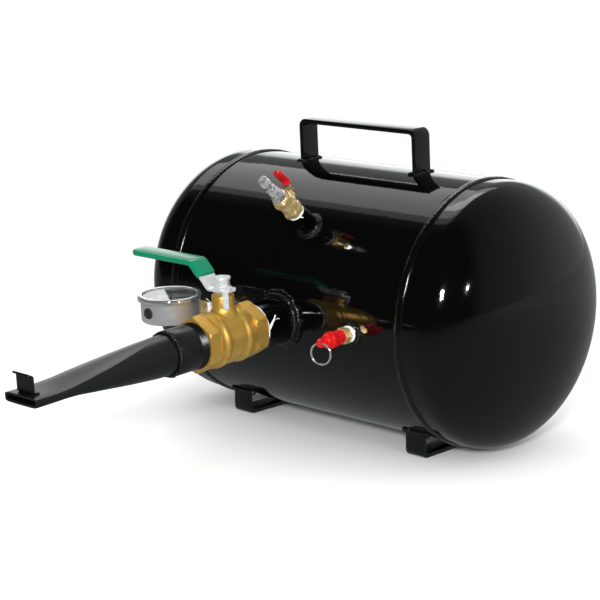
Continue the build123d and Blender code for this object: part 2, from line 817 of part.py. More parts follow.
# ---------------------------------------------------------------- inlet ball valve
iv_start = inlet_bung_out + 3.5
iv_end = iv_start + 25.9
iv_stem_at = iv_start + 12.0
iv_ball_r = 7.0
iv_bore = 3.6
iv_hex = 11.5
iv_neck = 5.7
iv_neck_top = 15.0
iv_lever_low = 16.6
iv_thick = 1.6
iv_turn = 20.0
iv_frame = turned_plane(inlet, iv_turn)
iv_origin = inlet.origin + inlet.z_dir * iv_stem_at
iv_up = Plane(origin=iv_origin, x_dir=iv_frame.x_dir, z_dir=iv_frame.y_dir)
iv_stem_axis = Axis(iv_origin, iv_frame.y_dir)
with BuildPart() as inlet_valve_body:
    with BuildSketch(iv_frame.offset(iv_start)):
        RegularPolygon(iv_hex, 6)
    extrude(amount=6.0)
    with BuildSketch(iv_frame.offset(iv_start + 6)):
        Circle(9.6)
    extrude(amount=13)
    with BuildSketch(iv_up.offset(4)):
        Circle(iv_neck)
    extrude(amount=iv_neck_top - 4)
    with BuildSketch(iv_frame.offset(iv_start - 17)):
        Circle(inlet_thread)
    extrude(amount=17)
    with BuildSketch(iv_frame.offset(iv_start - 25)):
        Circle(iv_bore)
    extrude(amount=60, mode=Mode.SUBTRACT)
    with BuildSketch(iv_frame.offset(iv_stem_at - 6.6)):
        Circle(7.6)
    extrude(amount=40, mode=Mode.SUBTRACT)
    with BuildSketch(iv_up.offset(4)):
        Circle(2.5 + running)
    extrude(amount=20, mode=Mode.SUBTRACT)
    with BuildSketch(iv_up.offset(4)):
        Circle(3.6)
    extrude(amount=6.4, mode=Mode.SUBTRACT)
    with BuildSketch(iv_up.offset(12)):
        Circle(4.4)
    extrude(amount=10, mode=Mode.SUBTRACT)
inlet_valve_body.part.label = "inlet_valve_body"
export_step(inlet_valve_body.part, "parts/inlet_valve_body.step")

with BuildPart() as inlet_valve_cap:
    with BuildSketch(iv_frame.offset(iv_start + 19)):
        RegularPolygon(iv_hex, 6)
    extrude(amount=iv_end - iv_start - 19)
    with BuildSketch(iv_frame.offset(iv_stem_at + 6.0)):
        Circle(7.6 - thread_fit)
    extrude(amount=iv_start + 19 - iv_stem_at - 6.0)
    with BuildSketch(iv_frame.offset(iv_start + 5)):
        Circle(iv_bore)
    extrude(amount=40, mode=Mode.SUBTRACT)
    with BuildSketch(iv_frame.offset(iv_start + 21)):
        Circle(small_thread - 0.4 + thread_fit)
    extrude(amount=20, mode=Mode.SUBTRACT)
inlet_valve_cap.part.label = "inlet_valve_cap"
export_step(inlet_valve_cap.part, "parts/inlet_valve_cap.step")

with BuildPart() as inlet_seats:
    with BuildSketch(iv_frame.offset(iv_stem_at - 6.6)):
        Circle(7.4)
        Circle(iv_bore + 0.2, mode=Mode.SUBTRACT)
    extrude(amount=3.2)
    with BuildSketch(iv_frame.offset(iv_stem_at + 3.2)):
        Circle(7.4)
        Circle(iv_bore + 0.2, mode=Mode.SUBTRACT)
    extrude(amount=2.7)
    with Locations(iv_origin):
        Sphere(iv_ball_r + running, mode=Mode.SUBTRACT)
inlet_seats.part.label = "inlet_seats"
export_step(inlet_seats.part, "parts/inlet_seats.step")

# rests open: bore in line with the port
with BuildPart() as inlet_ball:
    with Locations(iv_origin):
        Sphere(iv_ball_r)
    with BuildSketch(iv_frame.offset(iv_stem_at - 20)):
        Circle(iv_bore)
    extrude(amount=40, mode=Mode.SUBTRACT)
    with BuildSketch(iv_up.offset(4.9)):
        Rectangle(2.1, 20)
    extrude(amount=10, mode=Mode.SUBTRACT)
inlet_ball.part.label = "inlet_ball"
export_step(inlet_ball.part, "parts/inlet_ball.step")

with BuildPart() as inlet_stem:
    with BuildSketch(iv_up.offset(5.0)) as inlet_tang:
        Circle(3.0)
        Rectangle(1.9, 10, mode=Mode.INTERSECT)
    extrude(amount=3.0)
    with BuildSketch(iv_up.offset(7.6)):
        Circle(3.5)
    extrude(amount=2.7)
    with BuildSketch(iv_up.offset(8)):
        Circle(2.5)
    extrude(amount=iv_lever_low - 8)
    with BuildSketch(iv_up.offset(iv_lever_low)) as inlet_flats:
        Circle(2.5)
        Rectangle(3.8, 10, mode=Mode.INTERSECT)
    extrude(amount=iv_thick)
    with BuildSketch(iv_up.offset(iv_lever_low + iv_thick)):
        Circle(2.0)
    extrude(amount=3.4)
inlet_stem.part.label = "inlet_stem"
export_step(inlet_stem.part, "parts/inlet_stem.step")

with BuildPart() as inlet_gland:
    with BuildSketch(iv_up.offset(12.05)):
        Circle(4.35)
        Circle(2.5 + running, mode=Mode.SUBTRACT)
    extrude(amount=iv_neck_top + 0.9 - 12.05)
inlet_gland.part.label = "inlet_gland"
export_step(inlet_gland.part, "parts/inlet_gland.step")

iv_lever_side = Plane(origin=iv_origin, x_dir=iv_frame.z_dir, z_dir=-iv_frame.x_dir)
iv_mid = iv_lever_low + iv_thick / 2
iv_line = [(-5.5, iv_mid), (6.5, iv_mid), (11.5, iv_mid + 6.0), (30.0, iv_mid + 6.0)]
with BuildPart() as inlet_lever:
    with BuildSketch(iv_lever_side.offset(-4.6)):
        with BuildLine():
            FilletPolyline(*cranked(iv_line, iv_thick), radius=(0, 2, 2, 0, 0, 2, 2, 0), close=True)
        make_face()
    extrude(amount=9.2)
    with BuildSketch(iv_up.offset(5)) as iv_plan:
        with Locations((0, -12.3)):
            RectangleRounded(9.2, 35.6, 4.4)
    extrude(amount=40, mode=Mode.INTERSECT)
    with BuildSketch(iv_up.offset(5)) as iv_eye:
        Circle(2.5 + running)
        Rectangle(3.8 + 2 * running, 10, mode=Mode.INTERSECT)
    extrude(amount=30, mode=Mode.SUBTRACT)
inlet_lever.part.label = "inlet_lever"
export_step(inlet_lever.part, "parts/inlet_lever.step")

with BuildPart() as inlet_lever_nut:
    with BuildSketch(iv_up.offset(iv_lever_low + iv_thick)):
        RegularPolygon(4.0, 6)
        Circle(2.0, mode=Mode.SUBTRACT)
    extrude(amount=2.8)
inlet_lever_nut.part.label = "inlet_lever_nut"
export_step(inlet_lever_nut.part, "parts/inlet_lever_nut.step")

# ---------------------------------------------------------------- quick-connect plug
plug_nose = iv_end + 35.8
plug_profile = (
    (3.4, iv_start + 21.2),
    (small_thread - 0.4, iv_start + 21.2),
    (small_thread - 0.4, iv_end),
    (8.0, iv_end),
    (8.0, iv_end + 7.0),
    (6.4, iv_end + 7.6),
    (6.4, iv_end + 14.6),
    (5.9, iv_end + 15.4),
    (5.9, iv_end + 19.4),
    (4.4, iv_end + 20.6),
    (4.4, iv_end + 25.2),
    (5.9, iv_end + 26.6),
    (5.9, iv_end + 30.0),
    (5.4, iv_end + 30.6),
    (5.4, plug_nose - 0.6),
    (4.8, plug_nose),
    (3.4, plug_nose),
    (3.4, iv_start + 21.2),
)
with BuildPart() as air_plug:
    with BuildSketch(inlet_side):
        with BuildLine():
            Polyline(*plug_profile)
        make_face()
    revolve(axis=inlet_axis)
    with BuildSketch(inlet.offset(iv_end)):
        RegularPolygon(8.6, 6, rotation=12)
    extrude(amount=6.4)
    with BuildSketch(inlet.offset(iv_start + 15)):
        Circle(3.4)
    extrude(amount=60, mode=Mode.SUBTRACT)
air_plug.part.label = "air_plug"
export_step(air_plug.part, "parts/air_plug.step")

# ---------------------------------------------------------------- relief valve
sv_hex_start = safety_bung_out + 4.0
sv_hex_end = sv_hex_start + 8.4
sv_bonnet_end = sv_hex_end + 19.4
sv_lift = 3.0
with BuildPart() as safety_body:
    with BuildSketch(safety_side):
        with BuildLine():
            Polyline(
                (3.0, bung_in + 2),
                (small_thread, bung_in + 2),
                (small_thread, sv_hex_end),
                (5.8, sv_hex_end),
                (5.8, sv_hex_end + 4.0),
                (3.0, sv_hex_end + 4.0),
                (3.0, bung_in + 2),
            )
        make_face()
    revolve(axis=safety_axis)
    with BuildSketch(safety.offset(sv_hex_start)):
        RegularPolygon(9.2, 6)
        Circle(4.0, mode=Mode.SUBTRACT)
    extrude(amount=sv_hex_end - sv_hex_start)
safety_body.part.label = "safety_body"
export_step(safety_body.part, "parts/safety_body.step")

chamber_r = 5.2
with BuildPart() as safety_bonnet:
    with BuildSketch(safety_side):
        with BuildLine():
            Polyline(
                (5.8 + thread_fit, sv_hex_end + 0.05),
                (7.2, sv_hex_end + 0.05),
                (7.4, sv_hex_end + 6),
                (9.0, sv_bonnet_end - 4),
                (9.0, sv_bonnet_end - 0.8),
                (8.2, sv_bonnet_end),
                (2.0 + running, sv_bonnet_end),
                (2.0 + running, sv_bonnet_end - 3),
                (chamber_r, sv_bonnet_end - 3),
                (chamber_r, sv_hex_end + 4.1),
                (5.8 + thread_fit, sv_hex_end + 4.1),
                (5.8 + thread_fit, sv_hex_end + 0.05),
            )
        make_face()
    revolve(axis=safety_axis)
safety_bonnet.part.label = "safety_bonnet"
export_step(safety_bonnet.part, "parts/safety_bonnet.step")

poppet_low = sv_hex_end + 4.1
with BuildPart() as safety_poppet:
    with BuildSketch(safety_side):
        with BuildLine():
            Polyline(
                (0, poppet_low),
                (4.6, poppet_low),
                (4.6, poppet_low + 2.2),
                (2.0, poppet_low + 2.2),
                (2.0, sv_bonnet_end + 5.0),
                (0, sv_bonnet_end + 5.0),
                (0, poppet_low),
            )
        make_face()
    revolve(axis=safety_axis)
safety_poppet.part.label = "safety_poppet"
export_step(safety_poppet.part, "parts/safety_poppet.step")

spring_wire = 0.45
spring_r = 3.6
spring_low = poppet_low + 2.2 + spring_wire + 0.05
spring_high = sv_bonnet_end - 3 - spring_wire - 0.05
spring_base = safety.offset(spring_low)
with BuildPart() as safety_spring:
    with BuildLine() as spring_path:
        Helix(
            pitch=(spring_high - spring_low) / 4.5,
            height=spring_high - spring_low,
            radius=spring_r,
            center=spring_base.origin,
            direction=safety.z_dir,
        )
    with BuildSketch(Plane(origin=spring_path.line @ 0, z_dir=spring_path.line % 0)):
        Circle(spring_wire)
    sweep(is_frenet=True)
safety_spring.part.label = "safety_spring"
export_step(safety_spring.part, "parts/safety_spring.step")

eye_at = sv_bonnet_end + 11.2
eye_half = 2.5
nose_start = sv_bonnet_end + 0.3
with BuildPart() as safety_cap:
    with BuildSketch(safety.offset(nose_start)):
        Circle(7.0)
    extrude(amount=sv_bonnet_end + 5.8 - nose_start)
    with BuildSketch(Plane(origin=safety.origin, x_dir=safety.z_dir, z_dir=(-1, 0, 0)).offset(-eye_half)):
        with Locations((eye_at - 3.2, 0)):
            Rectangle(6.4, 9.0)
        with Locations((eye_at, 0)):
            Circle(4.5)
        with Locations((eye_at, 0)):
            Circle(2.4, mode=Mode.SUBTRACT)
    extrude(amount=2 * eye_half)
    with BuildSketch(safety.offset(nose_start - 1)):
        Circle(2.0)
    extrude(amount=sv_bonnet_end + 5.0 - nose_start + 1, mode=Mode.SUBTRACT)
safety_cap.part.label = "safety_cap"
export_step(safety_cap.part, "parts/safety_cap.step")

ring_r = 11.2
ring_wire = 1.25
ring_yaw = 15.0
eye_point = safety.origin + safety.z_dir * eye_at
ring_normal = Vector(sin(radians(ring_yaw)), -cos(radians(ring_yaw)), 0)
ring_centre = eye_point - Vector(0, 0, ring_r)
with BuildPart() as pull_ring:
    with BuildSketch(
        Plane(origin=ring_centre, x_dir=(0, 0, 1), z_dir=ring_normal.cross(Vector(0, 0, 1)))
    ):
        with Locations((ring_r, 0)):
            Circle(ring_wire)
    revolve(axis=Axis(ring_centre, ring_normal))
pull_ring.part.label = "pull_ring"
export_step(pull_ring.part, "parts/pull_ring.step")

# ---------------------------------------------------------------- pressure gauge
case_origin = gauge.origin + gauge.z_dir * case_at
dial_plane = Plane(origin=case_origin, x_dir=(1, 0, 0), z_dir=gauge.y_dir)
dial_axis = Axis(case_origin, gauge.y_dir)
dial_side = Plane(origin=case_origin, x_dir=(1, 0, 0), z_dir=gauge.z_dir)
stem_neck_r = 6.5
stem_line = Plane(origin=gauge.origin + gauge.y_dir * gauge_stem_up, x_dir=gauge.x_dir, z_dir=gauge.z_dir)
with BuildPart() as gauge_case:
    with BuildSketch(dial_side):
        with BuildLine():
            Polyline(
                (0, case_low),
                (case_r - 2, case_low),
                (case_r, case_low + 2),
                (case_r, 26.0),
                (case_r - case_wall, 26.0),
                (case_r - case_wall, case_low + 2.6),
                (case_r - 3, case_low + case_wall),
                (0, case_low + case_wall),
                (0, case_low),
            )
        make_face()
    revolve(axis=dial_axis)
    with BuildSketch(gauge.offset(case_at - case_r - 5)):
        with Locations((0, gauge_stem_up)):
            Circle(stem_neck_r + 0.0)
    extrude(amount=15, mode=Mode.SUBTRACT)
    with BuildSketch(gauge.offset(case_at + case_r - 10)):
        with Locations((0, 14.5)):
            Circle(4.4)
    extrude(amount=20, mode=Mode.SUBTRACT)
gauge_case.part.label = "gauge_case"
export_step(gauge_case.part, "parts/gauge_case.step")

with BuildPart() as gauge_bezel:
    with BuildSketch(dial_side):
        with BuildLine():
            Polyline(
                (case_r + 0.05, 24.4),
                (bezel_r - 0.6, 24.4),
                (bezel_r, 25.2),
                (bezel_r, 28.6),
                (bezel_r - 1.4, bezel_top),
                (case_r - 2.1, bezel_top),
                (case_r - 3.1, 29.3),
                (case_r + 0.05, 29.3),
                (case_r + 0.05, 24.4),
            )
        make_face()
    revolve(axis=dial_axis)
gauge_bezel.part.label = "gauge_bezel"
export_step(gauge_bezel.part, "parts/gauge_bezel.step")

with BuildPart() as gauge_window:
    with BuildSketch(dial_plane.offset(26.05)):
        Circle(case_r)
    extrude(amount=3.2)
gauge_window.part.label = "gauge_window"
export_step(gauge_window.part, "parts/gauge_window.step")

spindle_r = 1.0
with BuildPart() as gauge_dial:
    with BuildSketch(dial_plane.offset(20.0)):
        Circle(case_r - case_wall - 0.2)
        Circle(spindle_r + 0.6, mode=Mode.SUBTRACT)
    extrude(amount=0.8)
gauge_dial.part.label = "gauge_dial"
export_step(gauge_dial.part, "parts/gauge_dial.step")

# needle rests on the zero mark, beside the stem socket
needle_angle = 45.0
needle_plane = turned_plane(dial_plane, needle_angle)
with BuildPart() as gauge_needle:
    with BuildSketch(needle_plane.offset(22.2)) as needle_shape:
        with BuildLine():
            Polyline((-9, -1.1), (case_r - 13.5, -0.7), (case_r - 6, 0), (case_r - 13.5, 0.7), (-9, 1.1), (-9, -1.1))
        make_face()
        Circle(3.2)
    extrude(amount=0.9)
    with BuildSketch(dial_plane.offset(14.2)):
        Circle(spindle_r)
    extrude(amount=10.2)
gauge_needle.part.label = "gauge_needle"
export_step(gauge_needle.part, "parts/gauge_needle.step")

with BuildPart() as gauge_movement:
    for level in (9.4, 15.6):
        with BuildSketch(dial_plane.offset(level)):
            with Locations((0, -3)):
                RectangleRounded(22, 26, 4)
            Circle(spindle_r + running, mode=Mode.SUBTRACT)
        extrude(amount=1.2)
    with BuildSketch(dial_plane.offset(10.6)):
        with Locations((-8, -12), (8, -12), (0, 7)):
            Circle(1.6)
    extrude(amount=5.0)
    with BuildSketch(dial_plane.offset(16.8)):
        with Locations((-8, -12), (8, -12)):
            Circle(1.2)
    extrude(amount=3.2)
gauge_movement.part.label = "gauge_movement"
export_step(gauge_movement.part, "parts/gauge_movement.step")

# curved tube that straightens with pressure, closed at its free end
with BuildPart() as bourdon_tube:
    with BuildSketch(dial_side):
        with Locations((case_r - 8.5, 10.5)):
            RectangleRounded(3.0, 8.0, 1.4)
    revolve(axis=dial_axis, revolution_arc=-255)
bourdon_tube.part.label = "bourdon_tube"
export_step(bourdon_tube.part, "parts/bourdon_tube.step")

gauge_hex_low = gauge_bung_out + 7.0
with BuildPart() as gauge_stem:
    with BuildSketch(gauge.offset(bung_in + 2)):
        Circle(gauge_thread)
    extrude(amount=gauge_hex_low - bung_in - 2)
    with BuildSketch(gauge.offset(gauge_hex_low)):
        with Locations((0, 2.5)):
            Rectangle(14, 19)
    extrude(amount=8.0)
    with BuildSketch(gauge.offset(gauge_hex_low + 8.0)):
        with Locations((0, gauge_stem_up)):
            Circle(stem_neck_r)
    extrude(amount=case_at - case_r + 5.3 - gauge_hex_low - 8.0)
    with BuildSketch(gauge.offset(bung_in)):
        Circle(2.0)
    extrude(amount=gauge_hex_low + 4 - bung_in, mode=Mode.SUBTRACT)
gauge_stem.part.label = "gauge_stem"
export_step(gauge_stem.part, "parts/gauge_stem.step")

with BuildPart() as gauge_plug:
    with BuildSketch(gauge.offset(case_at + case_r - 4)):
        with Locations((0, 14.5)):
            Circle(4.35)
    extrude(amount=4.4)
    with BuildSketch(gauge.offset(case_at + case_r + 0.1)):
        with Locations((0, 14.5)):
            Circle(6.0)
    extrude(amount=1.6)
gauge_plug.part.label = "gauge_plug"
export_step(gauge_plug.part, "parts/gauge_plug.step")
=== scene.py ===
import json
import math
import random

import bmesh
import bpy
from mathutils import Matrix, Vector, noise


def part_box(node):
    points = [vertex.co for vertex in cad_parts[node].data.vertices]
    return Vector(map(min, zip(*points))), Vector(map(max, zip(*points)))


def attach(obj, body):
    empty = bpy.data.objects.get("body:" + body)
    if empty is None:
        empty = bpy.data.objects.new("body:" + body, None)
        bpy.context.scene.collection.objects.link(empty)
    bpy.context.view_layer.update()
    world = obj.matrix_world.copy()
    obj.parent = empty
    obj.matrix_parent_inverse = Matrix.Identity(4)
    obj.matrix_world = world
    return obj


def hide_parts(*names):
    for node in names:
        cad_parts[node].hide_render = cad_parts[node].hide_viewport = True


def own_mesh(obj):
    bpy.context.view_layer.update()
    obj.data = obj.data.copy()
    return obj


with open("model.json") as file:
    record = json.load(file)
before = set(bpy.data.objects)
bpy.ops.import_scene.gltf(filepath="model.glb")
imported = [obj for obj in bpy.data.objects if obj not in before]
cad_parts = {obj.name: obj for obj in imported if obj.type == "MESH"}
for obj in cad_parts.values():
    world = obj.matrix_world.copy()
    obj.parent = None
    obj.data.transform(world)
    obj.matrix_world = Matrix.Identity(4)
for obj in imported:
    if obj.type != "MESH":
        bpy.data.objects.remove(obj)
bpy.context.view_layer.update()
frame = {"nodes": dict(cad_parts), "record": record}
record = frame["record"]
mounts = {m["name"]: m for m in record["mounts"]}
joints = {j["name"]: j for j in record["behaviour"]["joints"]}

# The shell is a rolled and seam-welded steel tube between two dished heads, sprayed with black gloss
# enamel after welding. The paint is thick and even, with a faint orange peel and a little settled dust.
MM = 0.001
shell_low, shell_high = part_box("tank_shell")
head_low, head_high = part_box("head_right")
tank_centre = Vector((0, (shell_low[1] + shell_high[1]) / 2, (shell_low[2] + shell_high[2]) / 2))
tank_r = (shell_high[2] - shell_low[2]) / 2 / MM
shell_half = shell_high[0] / MM
head_end = head_high[0] / MM
outlet_out = Vector(mounts["nozzle_mouth"]["axis"]).normalized()
outlet_up = Vector(joints["main_lever_turn"]["axis"]).normalized()


def new_group(name, inputs, outputs):
    group = bpy.data.node_groups.new(name, "ShaderNodeTree")
    for label, kind, value in inputs:
        socket = group.interface.new_socket(label, in_out="INPUT", socket_type=kind)
        socket.default_value = value
    for label, kind in outputs:
        group.interface.new_socket(label, in_out="OUTPUT", socket_type=kind)
    start = group.nodes.new("NodeGroupInput")
    end = group.nodes.new("NodeGroupOutput")
    return group, start, end


def add_node(tree, kind, links=(), **values):
    node = tree.nodes.new(kind)
    for key, value in values.items():
        if key in node.inputs:
            node.inputs[key].default_value = value
        else:
            setattr(node, key, value)
    for target, source in links:
        tree.links.new(source, node.inputs[target])
    return node


def span(tree, source, low=0.0, high=1.0, first=0.0, last=1.0, ease="LINEAR"):
    # a value carried from one range to another, whose ends are numbers or sockets
    node = add_node(tree, "ShaderNodeMapRange", [("Value", source)], interpolation_type=ease)
    for label, end in (("From Min", low), ("From Max", high), ("To Min", first), ("To Max", last)):
        if isinstance(end, bpy.types.NodeSocket):
            tree.links.new(end, node.inputs[label])
        else:
            node.inputs[label].default_value = end
    return node.outputs["Result"]


def times(tree, a, b):
    return add_node(tree, "ShaderNodeMath", [(0, a), (1, b)], operation="MULTIPLY").outputs[0]


def tinted(tree, amount, first, second):
    links = [(0, amount), (6, first), (7, second)]
    return add_node(tree, "ShaderNodeMix", links, data_type="RGBA").outputs[2]


skin_outputs = [
    ("Color", "NodeSocketColor"),
    ("Roughness", "NodeSocketFloat"),
    ("Height", "NodeSocketFloat"),
]


def paint_skin_group():
    group, start, end = new_group(
        "Paint Skin",
        [
            ("Paint", "NodeSocketColor", (0.01, 0.01, 0.01, 1)),
            ("Dust", "NodeSocketColor", (0.2, 0.2, 0.2, 1)),
            ("Dust Amount", "NodeSocketFloat", 0.03),
            ("Peel Scale", "NodeSocketFloat", 160.0),
            ("Smooth", "NodeSocketFloat", 0.08),
            ("Rough", "NodeSocketFloat", 0.2),
        ],
        skin_outputs,
    )
    point = add_node(group, "ShaderNodeTexCoord").outputs["Object"]
    given = start.outputs
    peel_links = [("Vector", point), ("Scale", given["Peel Scale"])]
    peel = add_node(group, "ShaderNodeTexNoise", peel_links, Detail=2.0)
    cloud = add_node(group, "ShaderNodeTexNoise", [("Vector", point)], Scale=9.0, Detail=6.0, Roughness=0.6)
    specks = add_node(group, "ShaderNodeTexVoronoi", [("Vector", point)], Scale=260.0)
    spot = span(group, specks.outputs["Distance"], 0.05, 0.12, 1.0, 0.0)
    patch = span(group, cloud.outputs["Fac"], 0.45, 0.75)
    amount = times(group, times(group, spot, patch), given["Dust Amount"])
    rough = span(group, cloud.outputs["Fac"], first=given["Smooth"], last=given["Rough"])
    group.links.new(tinted(group, amount, given["Paint"], given["Dust"]), end.inputs["Color"])
    group.links.new(rough, end.inputs["Roughness"])
    group.links.new(peel.outputs["Fac"], end.inputs["Height"])
    return group


paint_skin = paint_skin_group()


def new_material(name, group, settings, bump, distance, **shader):
    # one Principled shader fed by a surface group, with its constants on the shader's own sockets
    material = bpy.data.materials.new(name)
    material.use_nodes = True
    tree = material.node_tree
    tree.nodes.clear()
    out = tree.nodes.new("ShaderNodeOutputMaterial")
    body = tree.nodes.new("ShaderNodeBsdfPrincipled")
    tree.links.new(body.outputs[0], out.inputs["Surface"])
    skin = tree.nodes.new("ShaderNodeGroup")
    skin.node_tree = group
    for key, value in settings.items():
        skin.inputs[key].default_value = value
    tree.links.new(skin.outputs["Color"], body.inputs["Base Color"])
    tree.links.new(skin.outputs["Roughness"], body.inputs["Roughness"])
    relief = tree.nodes.new("ShaderNodeBump")
    relief.inputs["Strength"].default_value = bump
    relief.inputs["Distance"].default_value = distance
    tree.links.new(skin.outputs["Height"], relief.inputs["Height"])
    tree.links.new(relief.outputs["Normal"], body.inputs["Normal"])
    for key, value in shader.items():
        body.inputs[key.replace("_", " ")].default_value = value
    return material


def coat(name, paint, dust, amount, peel, smooth, rough, bump, depth, **shader):
    # a sprayed or dipped finish
    settings = {"Paint": (*paint, 1), "Dust": (*dust, 1), "Dust Amount": amount, "Peel Scale": peel}
    settings |= {"Smooth": smooth, "Rough": rough}
    return new_material(name, paint_skin, settings, bump, depth, **shader)


enamel = coat(
    "black_enamel", (0.0009, 0.001, 0.0011), (0.12, 0.12, 0.12),
    0.02, 190.0, 0.03, 0.09, 0.1, 0.0004, IOR=1.5,
)
weld_enamel = coat(
    "weld_enamel", (0.0012, 0.0012, 0.0013), (0.2, 0.2, 0.2), 0.05, 700.0, 0.06, 0.2, 0.3, 0.0005, IOR=1.5
)


def piece(name, points, faces, material, body, slot, *nodes, sharp=38.0):
    # points are millimetres in the frame; the object itself stays at the origin
    mesh = bpy.data.meshes.new(name)
    mesh.from_pydata([[v * MM for v in p] for p in points], [], faces)
    build = bmesh.new()
    build.from_mesh(mesh)
    bmesh.ops.recalc_face_normals(build, faces=build.faces)
    build.to_mesh(mesh)
    build.free()
    mesh.polygons.foreach_set("use_smooth", [True] * len(mesh.polygons))
    mesh.set_sharp_from_angle(angle=math.radians(sharp))
    mesh.materials.append(material)
    thing = bpy.data.objects.new(name, mesh)
    bpy.context.scene.collection.objects.link(thing)
    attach(thing, body)
    if nodes:
        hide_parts(*nodes)
    return thing


class Stand:
    # a right-handed set of directions at a point, in millimetres
    def __init__(self, origin, ex, ey, ez):
        self.o = Vector(origin) / MM if max(abs(c) for c in origin) < 3 else Vector(origin)
        self.x, self.y, self.z = Vector(ex).normalized(), Vector(ey).normalized(), Vector(ez).normalized()

    def at(self, x, y, z):
        return self.o + self.x * x + self.y * y + self.z * z

    def moved(self, x, y, z):
        return Stand(self.at(x, y, z), self.x, self.y, self.z)

    def turned(self, degrees):
        a = math.radians(degrees)
        c, s = math.cos(a), math.sin(a)
        return Stand(self.o, self.x * c + self.y * s, self.y * c - self.x * s, self.z)


def lathe(stand, profile, rings=96, closed=True, flats=None, lumps=None):
    # profile of (radius, height) turned about the stand's z; flats cut it to a polygon, lumps roughen it
    points, faces = [], []
    count = len(profile)
    for i in range(rings):
        a = 2 * math.pi * i / rings
        for k, (r, h) in enumerate(profile):
            if flats and k in flats["rows"]:
                step = 2 * math.pi / flats["sides"]
                off = (a - math.radians(flats.get("turn", 0))) % step - step / 2
                r = min(r, flats["apothem"] / math.cos(off))
            if lumps:
                dr, dh = lumps(a, k, r, h)
                r, h = r + dr, h + dh
            points.append(stand.at(r * math.cos(a), r * math.sin(a), h))
    for i in range(rings):
        j = (i + 1) % rings
        for k in range(count if closed else count - 1):
            n = (k + 1) % count
            faces.append((i * count + k, j * count + k, j * count + n, i * count + n))
    if not closed:
        faces.append(tuple(i * count for i in range(rings)))
        faces.append(tuple(i * count + count - 1 for i in range(rings))[::-1])
    return points, faces


def joined(*shells):
    points, faces = [], []
    for p, f in shells:
        base = len(points)
        points += p
        faces += [tuple(v + base for v in face) for face in f]
    return points, faces


def turned(name, stand, profile, rings, material, slot, node, sharp=38.0, **shape):
    # a piece of the vessel turned about its stand
    return piece(name, *lathe(stand, profile, rings, **shape), material, "vessel", slot, node, sharp=sharp)


tank_stand = Stand(tank_centre, (0, 1, 0), (0, 0, 1), (1, 0, 0))
wall = 2.8
shell_profile = [(tank_r - wall, -shell_half), (tank_r, -shell_half)]
shell_profile += [(tank_r, -shell_half + 2 * shell_half * k / 24) for k in range(1, 24)]
shell_profile += [(tank_r, shell_half), (tank_r - wall, shell_half)]
turned("shell_skin", tank_stand, shell_profile, 256, enamel, "enamel_black", "tank_shell")

head_start = head_low[0] / MM
head_depth = 71.5
head_straight = head_end - head_depth
for name, sign in (("head_right", 1), ("head_left", -1)):
    rim = [(tank_r - wall, sign * head_start), (tank_r, sign * head_start), (tank_r, sign * head_straight)]
    outer, inner = [], []
    for a in [(k / 40) * math.pi / 2 for k in range(1, 40)]:
        c, s = math.cos(a), math.sin(a)
        outer.append((tank_r * c, sign * (head_straight + head_depth * s)))
        inner.append(((tank_r - wall) * c, sign * (head_straight + (head_depth - wall) * s)))
    tip = [(0.02, sign * head_end), (0.02, sign * (head_end - wall))]
    dish = rim + outer + tip + inner[::-1]
    turned(name + "_skin", tank_stand, dish, 256, enamel, "enamel_black", name)


# Each head is joined to the shell by one machine-laid seam. The bead stands a couple of millimetres proud,
# with a shallow ripple where the arc paused, and the paint has rounded it over.
def seam_ripple(phase):
    def shift(a, k, r, h):
        if k < 2 or k > 12:
            return 0.0, 0.0
        swell = math.sin(math.pi * (k - 1) / 12)
        spot = Vector((math.cos(a), math.sin(a), phase))
        drift = noise.noise(spot * 7)
        wave = math.sin(a * 150 + 9 * drift + 0.5 * abs(k - 7)) * (0.5 + noise.noise(spot * 19))
        return swell * (0.1 * wave + 0.3 * drift - 0.35), 0.6 * drift
    return shift


for name, sign in (("seam_weld_right", 1), ("seam_weld_left", -1)):
    low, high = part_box(name)
    middle = (low[0] + high[0]) / 2 / MM
    half = (high[0] - low[0]) / 2 / MM
    rise = (high[2] - low[2]) / 2 / MM - tank_r
    bead = [(tank_r - wall, middle - 1.2), (tank_r - 0.3, middle - half)]
    for k in range(1, 12):
        t = -1 + 2 * k / 12
        bead.append((tank_r + rise * (1 - t * t) ** 0.8, middle + half * t))
    bead += [(tank_r - 0.3, middle + half), (tank_r - wall, middle + 1.2)]
    ripple = seam_ripple(sign * 3.1)
    turned(
        name + "_bead", tank_stand, bead, 1140, weld_enamel, "enamel_black", name, sharp=60, lumps=ripple
    )


# The carry handle and the two feet are 25 by 5 mm flat bar, bent cold and stick-welded to the shell
# before painting, so the bar keeps slightly rounded edges and the corners a tight outside radius.
def bent_line(corners, radii, steps=10):
    # a line through the corners with each inner one rounded
    line = [Vector(corners[0])]
    for before, here, after, r in zip(corners, corners[1:], corners[2:], radii):
        before, here, after = Vector(before), Vector(here), Vector(after)
        u, v = (before - here).normalized(), (after - here).normalized()
        half = u.angle(v) / 2
        reach = r / math.tan(half)
        middle = here + (u + v).normalized() * (r / math.sin(half))
        first, last = here + u * reach - middle, here + v * reach - middle
        start = math.atan2(first[1], first[0])
        sweep = (math.atan2(last[1], last[0]) - start + math.pi) % (2 * math.pi) - math.pi
        for k in range(steps + 1):
            a = start + sweep * k / steps
            line.append(middle + Vector((math.cos(a), math.sin(a))) * r)
    return line + [Vector(corners[-1])]


def walls(rows, size, looped=False):
    # quads between rows of points that each go once round, and a cap at both ends unless they loop
    faces = []
    for i in range(rows if looped else rows - 1):
        j = (i + 1) % rows
        for k in range(size):
            n = (k + 1) % size
            faces.append((i * size + k, i * size + n, j * size + n, j * size + k))
    if looped:
        return faces
    last = (rows - 1) * size
    return faces + [tuple(range(size))[::-1], tuple(last + k for k in range(size))]


